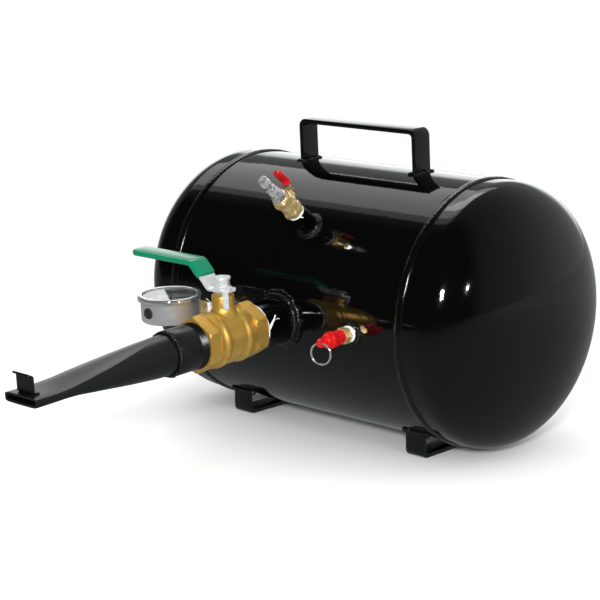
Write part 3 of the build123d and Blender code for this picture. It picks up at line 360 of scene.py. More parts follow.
def bar(stand, line, wide, thick, edge, taper=None):
    # rounded flat bar along a line in the stand's x-z plane, its width across y
    points, section = [], []
    for sx, sy in ((1, 1), (-1, 1), (-1, -1), (1, -1)):
        turn = math.atan2(sy, sx)
        for k in range(5):
            b = turn - math.pi / 4 + k * math.pi / 8
            section.append((sx, sy, edge * math.cos(b), edge * math.sin(b)))
    dense = [line[0]]
    for p, q in zip(line, line[1:]):
        cuts = max(1, int((q - p).length / 2.5)) if taper else 1
        dense += [p.lerp(q, k / cuts) for k in range(1, cuts + 1)]
    run = 0.0
    rows = []
    total = sum((q - p).length for p, q in zip(dense, dense[1:]))
    for i, p in enumerate(dense):
        run += (p - dense[i - 1]).length if i else 0.0
        before = (p - dense[i - 1]).normalized() if i else (dense[1] - p).normalized()
        after = (dense[i + 1] - p).normalized() if i < len(dense) - 1 else before
        along = (before + after).normalized()
        normal = Vector((-along[1], along[0]))
        stretch = 1 / max(0.5, normal.dot(Vector((-after[1], after[0]))))
        w = taper(run, total) if taper else wide
        rows.append((p, along, normal, w, stretch, 1.0))
    first, last = rows[0], rows[-1]
    ends = [(first[0], first[1], first[2], first[3] - 2 * edge * 0.7, 1.0, 0.0)]
    rows[0] = (first[0] + first[1] * edge * 0.7, *first[1:])
    tail = [(last[0], last[1], last[2], last[3] - 2 * edge * 0.7, 1.0, 0.0)]
    rows[-1] = (last[0] - last[1] * edge * 0.7, *last[1:])
    for p, along, normal, w, stretch, full in ends + rows + tail:
        t = thick if full else thick - 1.4 * edge
        for sx, sy, bx, by in section:
            across = sx * (w / 2 - edge) + bx
            deep = (sy * (t / 2 - edge) + by) * stretch
            q = p + normal * deep
            points.append(stand.at(q[0], across, q[1]))
    return points, walls(len(rows) + 2, len(section))


strap_wide = 25.0
strap_thick = 5.0
bar_edge = 0.7
barrel = Stand(tank_centre, (1, 0, 0), -outlet_out, outlet_up)
handle_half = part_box("handle")[1][0] / MM
handle_top = 190.5
post = handle_half - strap_thick / 2
crown = handle_top - strap_thick / 2
handle_line = bent_line([(-post, 141), (-post, crown), (post, crown), (post, 141)], (6.5, 6.5))
handle_bar = bar(barrel, handle_line, strap_wide, strap_thick, bar_edge)
piece("handle_bar", *handle_bar, enamel, "vessel", "enamel_black", "handle")

foot_x = 130.5
foot_half = (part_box("foot_right")[1][1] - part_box("foot_right")[0][1]) / 2 / MM
floor_drop = tank_centre[2] / MM
foot_in = foot_half - strap_thick / 2
foot_low = -floor_drop + strap_thick / 2
leg_top = -math.sqrt(tank_r**2 - foot_in**2) + 1.5
for name, x in (("foot_right", foot_x), ("foot_left", -foot_x)):
    stand = Stand(tank_centre, (0, 1, 0), (1, 0, 0), (0, 0, 1)).moved(0, x, 0)
    corners = [(-foot_in, leg_top), (-foot_in, foot_low), (foot_in, foot_low), (foot_in, leg_top)]
    foot_bar = bar(stand, bent_line(corners, (5.5, 5.5)), strap_wide, strap_thick, bar_edge)
    piece(name + "_bar", *foot_bar, enamel, "vessel", "enamel_black", name)


# Hand-laid stick welds hold every bar and port. Each is a row of overlapping puddles, uneven in size,
# painted over with the shell, so it shows as a chain of small bright glints.
def puddles(path, radius, seed, squash=0.75, normal=None, spacing=0.55):
    # overlapping flattened drops along a path of points in millimetres
    local = random.Random(seed)
    shells = []
    length = sum((b - a).length for a, b in zip(path, path[1:]))
    count = max(3, int(length / (radius * spacing)))
    for i in range(count):
        t = i / (count - 1) * (len(path) - 1)
        k = min(int(t), len(path) - 2)
        spot = path[k].lerp(path[k + 1], t - k)
        spot += Vector([local.uniform(-0.12, 0.12) * radius for _ in range(3)])
        up = normal(spot) if callable(normal) else normal
        size = radius * local.uniform(0.8, 1.2)
        side = up.orthogonal().normalized()
        other = up.cross(side)
        points = []
        rows, sides = 7, 14
        for r in range(rows + 1):
            lift = math.pi * r / rows
            for s in range(sides):
                b = 2 * math.pi * s / sides
                wob = 1 + 0.07 * noise.noise(spot * 0.7 + Vector((r, s, seed)))
                points.append(
                    spot
                    + up * (math.cos(lift) * size * squash * wob)
                    + (side * math.cos(b) + other * math.sin(b)) * (math.sin(lift) * size * wob + 1e-4)
                )
        shells.append((points, walls(rows + 1, sides)))
    return joined(*shells)


def off_wall(spot):
    v = spot - tank_centre / MM
    return Vector((0, v[1], v[2])).normalized()


def on_wall(x, across):
    # a point on top of the shell at x, and at a distance across the handle's plane
    return barrel.at(x, across, math.sqrt(tank_r**2 - across**2))


handle_beads = []
for side in (-1, 1):
    for face in (-1, 1):
        x = side * post + face * (strap_thick / 2 + 1.2)
        run = [on_wall(x, -13.5 + 27 * k / 8) for k in range(9)]
        handle_beads.append(puddles(run, 3.1, 11 + side * 3 + face, 0.8, off_wall))
    for across in (-13.2, 13.2):
        run = [on_wall(side * post + d, across) for d in (-3, 0, 3)]
        handle_beads.append(puddles(run, 2.6, 31 + side + int(across), 0.8, off_wall))
beads = joined(*handle_beads)
piece("handle_beads", *beads, weld_enamel, "vessel", "enamel_black", "handle_welds", sharp=70)

foot_beads = []
upright = Stand(tank_centre, (1, 0, 0), (0, 1, 0), (0, 0, 1))
for side in (-1, 1):
    for face in (-1, 1):
        for y in (foot_half + 1.0, foot_half - strap_thick - 1.2):
            drop = -math.sqrt(tank_r**2 - y**2) - 0.6
            run = [upright.at(side * foot_x - 12.5 + 25 * k / 6, face * y, drop) for k in range(7)]
            foot_beads.append(puddles(run, 3.0, int(50 + side * 7 + face * 3 + y), 0.9, off_wall))
piece("foot_beads", *joined(*foot_beads), weld_enamel, "vessel", "enamel_black", "foot_welds", sharp=70)

# Five ports are let through the shell wall: the big outlet pipe, and short threaded bungs for the charging
# valve, relief valve, gauge and drain. They are plain black pipe stubs under the same paint.
outlet_x = joints["main_lever_turn"]["pos_m"][0] / MM
across_x = Vector((1, 0, 0))
outlet = Stand(tank_centre, across_x, outlet_up, outlet_out).moved(outlet_x, 0, 0)
inlet_out = Vector(mounts["air_plug_nose"]["axis"]).normalized()
inlet_x = mounts["air_plug_nose"]["pos_m"][0] / MM
inlet = Stand(tank_centre, across_x, inlet_out.cross(across_x), inlet_out).moved(inlet_x, 0, 0)
relief_x = joints["ring_swing"]["pos_m"][0] / MM
relief = Stand(tank_centre, across_x, outlet_up, outlet_out).moved(relief_x, 0, 0)
gauge_x = joints["needle_sweep"]["pos_m"][0] / MM
gauge = Stand(tank_centre, across_x, outlet_up, outlet_out).moved(gauge_x, 0, 0)
drain_x = (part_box("drain_bung")[0][0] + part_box("drain_bung")[1][0]) / 2 / MM
drain = Stand(tank_centre, across_x, (0, 1, 0), (0, 0, -1)).moved(drain_x, 0, 0)
pipe_r = 24.15


def tube_profile(inner, outer, low, high, ease=0.6):
    return [
        (inner, low),
        (outer - ease, low),
        (outer, low + ease),
        (outer, high - ease),
        (outer - ease, high),
        (inner + ease, high),
        (inner, high - ease),
    ]


stub = tube_profile(20.5, pipe_r, 138, 201)
turned("outlet_stub", outlet, stub, 96, enamel, "enamel_black", "outlet_nipple")
for name, stand, inner, outer, high in (
    ("inlet_bung", inlet, 8.25, 10.5, 171.5),
    ("gauge_bung", gauge, 6.65, 10.5, 160.0),
    ("safety_bung", relief, 6.65, 8.9, 146.0),
    ("drain_bung", drain, 6.65, 11.0, 147.4),
):
    stub = tube_profile(inner, outer, 137, high)
    turned(name + "_stub", stand, stub, 64, enamel, "enamel_black", name)


def port_ring(stand, radius, drop_r, seed, lift=0.6):
    # a ring of puddles lying in the corner between a pipe and the round wall
    path = []
    for k in range(49):
        a = 2 * math.pi * k / 48
        x, y = radius * math.cos(a), radius * math.sin(a)
        high = math.sqrt(tank_r**2 - y * y)
        path.append(stand.at(x, y, high + lift))
    return puddles(path, drop_r, seed, 0.8, off_wall, 0.68)


port_beads = joined(
    port_ring(outlet, 27.4, 4.8, 3, 1.4),
    port_ring(outlet, 25.4, 3.6, 4, 5.2),
    port_ring(inlet, 12.6, 3.3, 5),
    port_ring(inlet, 11.2, 2.6, 6, 3.2),
    port_ring(gauge, 12.6, 3.3, 7),
    port_ring(gauge, 11.2, 2.6, 8, 3.2),
    port_ring(relief, 11.0, 2.6, 9, 0.2),
    port_ring(drain, 12.4, 1.8, 10, 0.2),
)
piece("port_beads", *port_beads, weld_enamel, "vessel", "enamel_black", "port_welds", sharp=70)


# Bright hardware: zinc-plated steel for the lever plate, nuts and drain plug, and nickel-chrome on the
# quick-connect plug and ring. Both carry fine drawn or turned lines and small handling scratches.
def metal_grain_group():
    group, start, end = new_group(
        "Metal Grain",
        [
            ("Base", "NodeSocketColor", (0.7, 0.7, 0.7, 1)),
            ("Deep", "NodeSocketColor", (0.4, 0.4, 0.4, 1)),
            ("Grain Scale", "NodeSocketFloat", 900.0),
            ("Patch Scale", "NodeSocketFloat", 60.0),
            ("Stain", "NodeSocketFloat", 0.4),
            ("Smooth", "NodeSocketFloat", 0.15),
            ("Rough", "NodeSocketFloat", 0.4),
        ],
        skin_outputs,
    )
    point = add_node(group, "ShaderNodeTexCoord").outputs["Object"]
    given = start.outputs
    fine = [("Vector", point), ("Scale", given["Grain Scale"])]
    coarse = [("Vector", point), ("Scale", given["Patch Scale"])]
    grain = add_node(group, "ShaderNodeTexNoise", fine, Detail=5.0, Roughness=0.7).outputs["Fac"]
    cells = add_node(group, "ShaderNodeTexVoronoi", fine).outputs["Distance"]
    patch = add_node(group, "ShaderNodeTexNoise", coarse, Detail=5.0).outputs["Fac"]
    height = add_node(group, "ShaderNodeMath", [(0, grain), (1, cells)], operation="ADD")
    stain = span(group, patch, 0.35, 0.7, last=given["Stain"])
    rough = span(group, grain, 0.3, 0.7, given["Smooth"], given["Rough"])
    group.links.new(tinted(group, stain, given["Base"], given["Deep"]), end.inputs["Color"])
    group.links.new(rough, end.inputs["Roughness"])
    group.links.new(height.outputs[0], end.inputs["Height"])
    return group


metal_grain = metal_grain_group()


def grained(name, base, deep, grain, patch, stain, smooth, rough, bump, depth, **shader):
    # a finish with a fine grain and broad faint stains
    settings = {"Base": (*base, 1), "Deep": (*deep, 1), "Grain Scale": grain, "Patch Scale": patch}
    settings |= {"Stain": stain, "Smooth": smooth, "Rough": rough}
    return new_material(name, metal_grain, settings, bump, depth, **shader)


def metal(*grain, metallic=1.0):
    return grained(*grain, Metallic=metallic)


zinc = metal(
    "zinc_plate", (0.84, 0.86, 0.87), (0.6, 0.63, 0.66),
    1300, 160, 0.6, 0.2, 0.42, 0.12, 0.0003, metallic=0.6,
)
chrome = metal(
    "nickel_chrome", (0.9, 0.91, 0.93), (0.7, 0.71, 0.74),
    1600, 90, 0.4, 0.05, 0.14, 0.04, 0.0002, metallic=0.88,
)


def dress(material, *nodes):
    # a carried-over part keeps its shape and takes the finished material
    for name in nodes:
        thing = frame["nodes"][name]
        thing.data.materials.clear()
        thing.data.materials.append(material)


dress(zinc, "drain_plug")

# White sealing tape is wound on every screwed joint before it is made up. It squeezes out as a ragged ring,
# and a few torn ends stand off the pipe.
tape_white = grained(
    "sealing_tape", (0.86, 0.86, 0.84), (0.62, 0.61, 0.58), 1500.0, 420.0, 0.5, 0.5, 0.8, 0.5, 0.0004
)


def ragged(seed, size):
    def shift(a, k, r, h):
        c, s = math.cos(a), math.sin(a)
        wave = noise.noise(Vector((c * 5, s * 5, seed + k * 0.8)))
        return size * wave, size * 0.8 * noise.noise(Vector((c * 7, s * 7, seed + 9 + k)))
    return shift


def tape_ring(inner, outer, low, high):
    steps = 6
    run = [(inner, low)]
    for k in range(steps + 1):
        run.append((outer - 0.25 * (k % 2), low + (high - low) * k / steps))
    return run + [(inner, high)]


def wisp(points, wide, seed):
    # a torn strand: a thin twisted ribbon through points in millimetres
    local = random.Random(seed)
    spine = [Vector(p) for p in points]
    fine = []
    for k in range(len(spine) - 1):
        a, b = spine[max(k - 1, 0)], spine[k]
        c, d = spine[k + 1], spine[min(k + 2, len(spine) - 1)]
        for s in range(8):
            t = s / 8
            bend = (2 * a - 5 * b + 4 * c - d) * t * t + (3 * b - a - 3 * c + d) * t**3
            fine.append(0.5 * (2 * b + (c - a) * t + bend))
    fine.append(spine[-1])
    shown = []
    for i, p in enumerate(fine):
        along = (fine[min(i + 1, len(fine) - 1)] - fine[max(i - 1, 0)]).normalized()
        side = along.orthogonal().normalized()
        side.rotate(Matrix.Rotation(i * 0.18 + seed, 3, along))
        deep = along.cross(side)
        taper = wide * (1 - 0.75 * i / len(fine)) * local.uniform(0.8, 1.2)
        for sx, sy in ((1, 0.18), (-1, 0.18), (-1, -0.18), (1, -0.18)):
            shown.append(p + side * (taper * sx / 2) + deep * (sy * wide * 0.6))
    return shown, walls(len(fine), 4)


outlet_tape = joined(
    lathe(outlet, tape_ring(24.2, 24.9, 184.4, 187.9), 160, lumps=ragged(2, 0.25)),
    wisp([outlet.at(*p) for p in ((25, -1, 187), (27, 5, 185.5), (29, 10, 184), (30.5, 17, 181))], 3.6, 1),
    wisp([outlet.at(29, 10, 184.5), outlet.at(31, 13, 182), outlet.at(33, 13, 178)], 1.6, 2),
)
piece("tape_outlet_wrap", *outlet_tape, tape_white, "vessel", "ptfe", "tape_outlet", sharp=60)
inlet_tape = joined(
    lathe(inlet, tape_ring(8.3, 9.6, 171.7, 174.9), 120, lumps=ragged(5, 0.4)),
    wisp([inlet.at(8.5, -3, 173), inlet.at(10.5, -4, 171.5), inlet.at(12.0, -3.5, 170)], 1.2, 3),
)
piece("tape_inlet_wrap", *inlet_tape, tape_white, "vessel", "ptfe", "tape_inlet", sharp=60)
relief_tape = joined(
    lathe(relief, tape_ring(6.7, 8.6, 146.2, 149.9), 120, lumps=ragged(8, 0.45)),
    wisp([relief.at(6, 6, 148), relief.at(7.5, 7.5, 147.5), relief.at(8.5, 8, 145.5)], 1.1, 4),
)
piece("tape_relief_wrap", *relief_tape, tape_white, "vessel", "ptfe", "tape_safety", sharp=60)
gauge_tape = joined(
    lathe(gauge, tape_ring(6.7, 8.2, 160.2, 166.9), 120, lumps=ragged(11, 0.4)),
    wisp([gauge.at(*p) for p in ((7, 5, 164), (11, 9, 166), (12, 13, 169), (9, 16, 171))], 1.9, 5),
    wisp([gauge.at(8, 0, 166), gauge.at(12, 1, 170), gauge.at(11, 6, 174)], 1.6, 6),
)
piece("tape_gauge_wrap", *gauge_tape, tape_white, "vessel", "ptfe", "tape_gauge", sharp=60)


# The outlet valve is a full-bore ball valve of forged brass, sandblasted grainy and left unplated. The tail
# half is a hexagon screwed on the pipe, and the body carries two raised bands and a front hexagon.
brass = metal(
    "forged_brass", (0.80, 0.50, 0.115), (0.58, 0.33, 0.05),
    1500, 130, 0.55, 0.22, 0.46, 0.3, 0.0004, metallic=0.8,
)
turned_brass = metal(
    "turned_brass", (0.86, 0.66, 0.31), (0.60, 0.42, 0.15),
    2200, 200, 0.4, 0.14, 0.34, 0.1, 0.0002, metallic=0.75,
)


def hex_rows(profile, low, high, corner, turn=0):
    # the rows of a profile cut to a hexagon, given the radius to its corners
    apothem = corner * math.cos(math.pi / 6)
    rows = {k for k, (r, h) in enumerate(profile) if low - 0.01 <= h <= high + 0.01 and r > 0.85 * apothem}
    return {"rows": rows, "sides": 6, "apothem": apothem, "turn": turn}


hex_corner = 30.8
tail_profile = [
    (24.25, 188.0), (27.6, 188.0), (29.3, 188.7), (30.7, 190.2), (30.8, 191.4), (30.8, 201.6),
    (30.7, 202.8), (29.3, 204.3), (27.8, 205.0), (24.4, 205.0), (24.4, 212.0), (21.1, 212.0),
    (21.1, 208.5), (16.0, 208.5), (16.0, 201.6), (24.25, 201.6),
]
tail_flats = hex_rows(tail_profile, 188, 205, hex_corner, 30)
turned("valve_tail_hex", outlet, tail_profile, 192, brass, "brass", "valve_tail", flats=tail_flats)

body_profile = [
    (24.6, 205.1), (27.6, 205.1), (27.9, 206.0), (27.9, 210.6), (28.2, 211.8), (29.2, 212.8),
    (29.6, 213.8), (29.6, 217.0), (29.2, 218.0), (28.5, 219.0), (28.25, 220.2), (28.2, 222.0),
    (28.2, 232.0), (28.2, 240.0), (28.25, 242.0), (28.5, 243.2), (29.2, 244.2), (29.6, 245.2),
    (29.6, 247.8), (29.2, 248.8), (28.3, 249.8), (28.0, 251.0), (28.0, 255.0), (28.3, 255.9),
    (29.3, 256.2), (30.6, 257.4), (30.8, 258.6), (30.8, 267.6), (30.5, 269.2), (29.3, 270.4),
    (27.8, 271.0), (24.9, 271.0), (24.3, 270.4), (24.3, 254.2), (16.0, 254.2), (16.0, 243.4),
    (21.1, 243.4), (21.1, 240.0), (24.6, 240.0),
]
body_flats = hex_rows(body_profile, 256, 271, hex_corner, 30)
stem = Stand(outlet.at(0, 0, 226), across_x, -outlet_out, outlet_up)
neck_profile = [
    (8.5, 22.0), (17.6, 22.0), (15.6, 25.4), (13.9, 27.6), (12.6, 29.8), (12.05, 32.0), (12.0, 34.0),
    (12.0, 43.6), (11.6, 44.6), (10.9, 45.0), (8.55, 45.0), (8.5, 44.4),
]
valve_metal = joined(lathe(outlet, body_profile, 192, flats=body_flats), lathe(stem, neck_profile, 96))
piece("valve_body_forging", *valve_metal, brass, "vessel", "brass", "valve_body")
gland_profile = [
    (5.1, 39.2), (8.4, 39.2), (8.4, 45.05), (8.3, 45.1), (9.0, 45.5), (9.2, 46.0), (9.2, 47.8),
    (9.0, 48.3), (8.0, 48.6), (5.3, 48.6), (5.1, 48.3),
]
gland_flats = hex_rows(gland_profile, 45.05, 48.6, 9.2)
turned("gland_nut_hex", stem, gland_profile, 96, turned_brass, "brass", "gland_nut", flats=gland_flats)
steel = metal(
    "turned_steel", (0.62, 0.62, 0.63), (0.42, 0.42, 0.43),
    1900, 120, 0.5, 0.16, 0.36, 0.08, 0.0002,
)
seat_white = grained(
    "seat_plastic", (0.8, 0.8, 0.79), (0.7, 0.7, 0.68), 1200.0, 90.0, 0.4, 0.3, 0.5, 0.1, 0.0002
)
dress(chrome, "valve_ball", "inlet_ball")
dress(steel, "valve_stem", "gauge_movement")
dress(seat_white, "valve_seats", "stem_packing", "inlet_seats")

# The valve is worked by a pressed and zinc-plated lever, cranked up clear of the gauge, with a tab folded
# down as its stop. A green vinyl sleeve is dipped over the outer end, and a flanged nut holds it to the stem.
lever_wide, lever_thick = 21.0, 2.6
lever_back, lever_rise = 14.2, 25.0
lever_at = 49.0 + lever_thick / 2
lever_top = lever_at + lever_rise
lever_corners = [(lever_back, lever_at), (-12, lever_at), (-36, lever_top), (-127, lever_top)]
lever_line = bent_line(lever_corners, (5.3, 5.3), 8)


def lever_width(run, total):
    # the eye end is round about the stem, and the outer end is rounded inside its sleeve
    near = lever_back - run
    tip = total - run
    widths = [lever_wide]
    if near > 0:
        widths.append(2 * math.sqrt(max(14.4**2 - near**2, 30.0)))
    if tip < 7.5:
        widths.append(2 * math.sqrt(max(7.5**2 - (7.5 - tip) ** 2, 16.0)) + 6)
    return min(widths)


def block(stand, low, high, edge=0.3):
    # a small box with broken edges
    points = []
    for x in (low[0], high[0]):
        for y in (low[1], high[1]):
            for z in (low[2], high[2]):
                dx, dy, dz = (edge if v == start else -edge for v, start in zip((x, y, z), low))
                points += [(x, y + dy, z + dz), (x + dx, y, z + dz), (x + dx, y + dy, z)]
    build = bmesh.new()
    for p in points:
        build.verts.new(p)
    bmesh.ops.convex_hull(build, input=build.verts)
    build.verts.ensure_lookup_table()
    build.verts.index_update()
    shown = [stand.at(*v.co) for v in build.verts]
    faces = [tuple(v.index for v in f.verts) for f in build.faces]
    build.free()
    return shown, faces


lever_metal = joined(
    bar(stem, lever_line, lever_wide, lever_thick, 0.45, lever_width),
    block(stem.turned(-32), (12.9, -3.2, 31.6), (15.1, 3.2, 51.5), 0.5),
    block(stem, (13.0, -6.0, 49.2), (15.3, 0.0, 55.8), 0.5),
)
piece("valve_lever_plate", *lever_metal, zinc, "main_lever", "zinc", "valve_lever")


def vinyl(name, colour, deep):
    return coat(name, colour, deep, 0.25, 420.0, 0.12, 0.24, 0.08, 0.0004, IOR=1.55)


green_vinyl = vinyl("green_vinyl", (0.001, 0.17, 0.082), (0.16, 0.42, 0.3))
grip_wide, grip_thick, grip_end = 25.0, 6.0, 9.5
grip_line = bent_line([(-22.6, lever_at + 11.0), (-36, lever_top), (-129, lever_top)], (6.5,), 10)


def grip_width(run, total):
    tip = total - run
    width = grip_wide - 1.2 * math.exp(-run / 2.0)
    if tip < grip_end:
        width = grip_wide - 2 * (grip_end - math.sqrt(max(grip_end**2 - (grip_end - tip) ** 2, 0.0)))
    return max(width, 6.6)


sleeve = bar(stem, grip_line, grip_wide, grip_thick, 2.6, grip_width)
piece("lever_sleeve", *sleeve, green_vinyl, "main_lever", "vinyl_green", "lever_grip", sharp=50)
nut_profile = [
    (4.0, 51.6), (8.9, 51.6), (9.2, 51.9), (9.2, 53.0), (8.8, 53.5), (8.3, 54.2), (8.2, 55.0),
    (8.2, 59.8), (8.4, 60.6), (9.0, 61.3), (9.2, 61.9), (9.2, 63.0), (8.9, 63.5), (7.2, 63.5),
    (6.8, 63.1), (6.5, 58.2), (4.0, 58.0),
]
nut_flats = hex_rows(nut_profile, 54, 60, 7.7 / math.cos(math.pi / 6))
nut_metal = lathe(stem, nut_profile, 96, flats=nut_flats)
piece("lever_nut_flanged", *nut_metal, zinc, "main_lever", "zinc", "lever_nut")


# The nozzle is steel tube pressed flat toward its mouth, welded inside a screwed collar of the outlet pipe
# and sprayed satin black. A thin bent angle stands on the mouth to hook the tyre bead.
satin = coat(
    "satin_black", (0.0032, 0.0034, 0.0036), (0.16, 0.16, 0.16),
    0.12, 1300.0, 0.2, 0.38, 0.25, 0.0005, IOR=1.5,
)
collar_profile = [(21.3, 255.2), (23.2, 255.2)]
for k in range(13):
    collar_profile += [(23.1, 256.0 + k * 1.9), (24.1, 256.9 + k * 1.9)]
collar_profile += [(pipe_r, 280.9), (pipe_r, 290.0), (pipe_r, 305.6)]
collar_profile += [(23.7, 306.6), (22.8, 307.0), (21.3, 307.0)]
turned("nozzle_collar_turned", outlet, collar_profile, 144, satin, "satin_black", "nozzle_collar", sharp=30)

# place along the port, width and height
stations = (
    (290, 42.4, 42.4),
    (312, 42.4, 42.4),
    (330, 42.6, 41.4),
    (368, 44.2, 34.0),
    (412, 46.6, 22.0),
    (455, 48.0, 11.2),
    (494, 48.0, 10.0),
)


def pressed(at):
    # width and height of the pressed tube at a distance along the port, eased between stations
    spots = [s[0] for s in stations]
    k = max(i for i in range(len(spots) - 1) if spots[i] <= at)
    gap = spots[k + 1] - spots[k]
    t = (at - spots[k]) / gap
    out = []
    for j in (1, 2):
        a, b = stations[k][j], stations[k + 1][j]
        before, after = 0.0, (b - a) / gap
        if k:
            before = (b - stations[k - 1][j]) / (spots[k + 1] - spots[k - 1])
        if k + 2 < len(spots):
            after = (stations[k + 2][j] - a) / (spots[k + 2] - spots[k])
        out.append(
            (2 * t**3 - 3 * t * t + 1) * a
            + (t**3 - 2 * t * t + t) * before * gap
            + (3 * t * t - 2 * t**3) * b
            + (t**3 - t * t) * after * gap
        )
    return out


tube_sides = 96
tube_wall = 2.3
fold_start, fold_end = 325, 470


def tube_section(wide, high, flat, square, shrink):
    # one ring of points: round at first, then two flats joined by tight folded edges
    ring = []
    for k in range(tube_sides):
        a = 2 * math.pi * k / tube_sides
        c, s = math.cos(a), math.sin(a)
        x = math.copysign(abs(c) ** (1 - 0.2 * flat - 0.42 * square), c) * (wide / 2 - shrink)
        y = math.copysign(abs(s) ** (1 - 0.42 * flat - 0.26 * square), s) * (high / 2 - shrink)
        ring.append((x, y))
    return ring


tube_points = []
spans = [290 + 204 * k / 102 for k in range(103)]
rows = [(at, 0.0) for at in spans] + [(at, tube_wall) for at in spans[::-1]]
for at, shrink in rows:
    wide, high = pressed(at)
    flat = min(1.0, max(0.0, (at - fold_start) / 110))
    flat = flat * flat * (3 - 2 * flat)
    square = min(1.0, max(0.0, (at - 440) / 34))
    for k, (x, y) in enumerate(tube_section(wide, high, flat, square, shrink)):
        edge = 0.0
        if shrink == 0 and fold_start < at < fold_end and y > 0:
            run = at - fold_start
            fold = 24.0 - 21.0 * math.exp(-(run / 62.0))
            ridge = math.exp(-(((abs(x) - fold) / 1.7) ** 2))
            edge = 0.8 * (ridge * math.sin(math.pi * min(1, run / (fold_end - fold_start))))
        tube_points.append(outlet.at(x, y + edge, at))
tube_faces = walls(len(rows), tube_sides, looped=True)
piece(
    "nozzle_pressed_tube", tube_points, tube_faces, satin, "vessel", "satin_black", "nozzle_tube", sharp=50
)


def off_pipe(spot):
    along = (spot - outlet.o).dot(outlet.z)
    return (spot - outlet.at(0, 0, along)).normalized()


bead_r = 22.6
collar_path = []
for k in range(49):
    a = 2 * math.pi * k / 48
    collar_path.append(outlet.at(bead_r * math.cos(a), bead_r * math.sin(a), 308.4))
collar_bead = puddles(collar_path, 2.1, 21, 0.9, off_pipe, 0.62)
piece("nozzle_weld_bead", *collar_bead, satin, "vessel", "satin_black", "nozzle_weld", sharp=70)

hook = Stand(outlet.o, outlet_out, -across_x, outlet_up)
hook_line = bent_line([(481.6, 6.05), (487.0, 6.05), (487.0, 22.6), (491.8, 25.6)], (1.6, 1.2), 5)
hook_beads = puddles([outlet.at(-11.5 + 23 * k / 6, 5.4, 481.6) for k in range(7)], 1.3, 61, 0.8, outlet_up)
hook_metal = joined(bar(hook, hook_line, 25.0, 2.0, 0.3), hook_beads)
piece("hook_angle", *hook_metal, satin, "vessel", "satin_black", "hook_bracket")

# The charging valve is a small brass ball valve: a hexagon at each end, a turned barrel, and a short pressed
# lever with a red dipped end. Tape shows where it enters the bung.
iv = inlet.turned(20)
iv_stem = Stand(inlet.at(0, 0, 187), iv.x, -iv.z, iv.y)
iv_profile = [
    (3.6, 158.0), (7.6, 158.0), (8.2, 158.6), (8.2, 174.9), (8.4, 175.0), (10.6, 175.0), (11.3, 175.5),
    (11.5, 176.2), (11.5, 180.0), (11.2, 180.7), (10.2, 181.1), (9.7, 181.4), (9.5, 182.0), (9.6, 183.0),
    (9.6, 192.6), (9.3, 193.6), (8.8, 193.9), (7.6, 193.9), (7.6, 180.6), (3.6, 180.6),
]
iv_corner = 11.5
iv_flats = hex_rows(iv_profile, 175.0, 180.7, iv_corner)
iv_neck = [
    (3.7, 6.5), (8.6, 6.5), (7.2, 8.4), (6.0, 10.0), (5.7, 11.2), (5.7, 14.3), (5.3, 15.0), (4.45, 15.0),
    (4.4, 12.0), (3.7, 12.0),
]
iv_metal = joined(lathe(iv, iv_profile, 96, flats=iv_flats), lathe(iv_stem, iv_neck, 48))
piece("inlet_valve_forging", *iv_metal, turned_brass, "vessel", "brass_bar", "inlet_valve_body")
cap_profile = [
    (6.3, 194.0), (10.4, 194.0), (11.2, 194.5), (11.5, 195.2), (11.5, 199.6), (11.2, 200.3),
    (10.4, 200.9), (6.4, 200.9), (6.3, 200.4),
]
cap_flats = hex_rows(cap_profile, 194.0, 200.9, iv_corner)
turned(
    "inlet_valve_cap_hex", iv, cap_profile, 96, turned_brass, "brass_bar", "inlet_valve_cap", flats=cap_flats
)
dress(turned_brass, "inlet_gland")
dress(steel, "inlet_stem")
iv_side = Stand(iv_stem.o, iv.z, iv.x, iv.y)
plate_wide, plate_thick, plate_end = 9.2, 1.6, 4.6
iv_mid = 16.6 + plate_thick / 2
iv_line = bent_line([(-5.4, iv_mid), (6.5, iv_mid), (11.5, iv_mid + 6), (30, iv_mid + 6)], (2.6, 2.6), 6)


def small_lever(run, total):
    ends = [2 * math.sqrt(max(plate_end**2 - max(plate_end - d, 0) ** 2, 5.0)) for d in (run, total - run)]
    return min(plate_wide, *ends)


pale_plate = metal(
    "lever_plate", (0.78, 0.66, 0.47), (0.6, 0.46, 0.3),
    1500, 200, 0.5, 0.18, 0.4, 0.1, 0.0002,
)
small_plate = bar(iv_side, iv_line, plate_wide, plate_thick, 0.3, small_lever)
piece("inlet_lever_plate", *small_plate, pale_plate, "inlet_handle", "vinyl_red")
red_vinyl = vinyl("red_vinyl", (0.42, 0.005, 0.009), (0.6, 0.16, 0.12))
sleeve_wide, sleeve_end = 10.6, 5.1
sleeve_line = bent_line([(8.4, iv_mid + 2.2), (11.5, iv_mid + 6), (31.2, iv_mid + 6)], (3.0,), 6)


def sleeve_width(run, total):
    short = max(sleeve_end - (total - run), 0)
    return sleeve_wide - 2 * (sleeve_end - math.sqrt(max(sleeve_end**2 - short**2, 0.0))) + 0.0001


sleeve = bar(iv_side, sleeve_line, sleeve_wide, 3.4, 1.4, sleeve_width)
piece("inlet_lever_sleeve", *sleeve, red_vinyl, "inlet_handle", "vinyl_red", "inlet_lever", sharp=50)
small_nut = [(2.05, 18.2), (3.7, 18.2), (4.0, 18.5), (4.0, 20.5), (3.7, 20.9), (2.05, 21.0)]
small_flats = hex_rows(small_nut, 18.2, 21.0, 4.0)
pink_brass = metal(
    "plated_nut", (0.86, 0.66, 0.56), (0.66, 0.44, 0.36),
    1500, 300, 0.4, 0.14, 0.3, 0.08, 0.0002,
)
small_hex = lathe(iv_stem, small_nut, 48, flats=small_flats)
piece("inlet_lever_nut_hex", *small_hex, pink_brass, "inlet_handle", "brass_bar", "inlet_lever_nut")

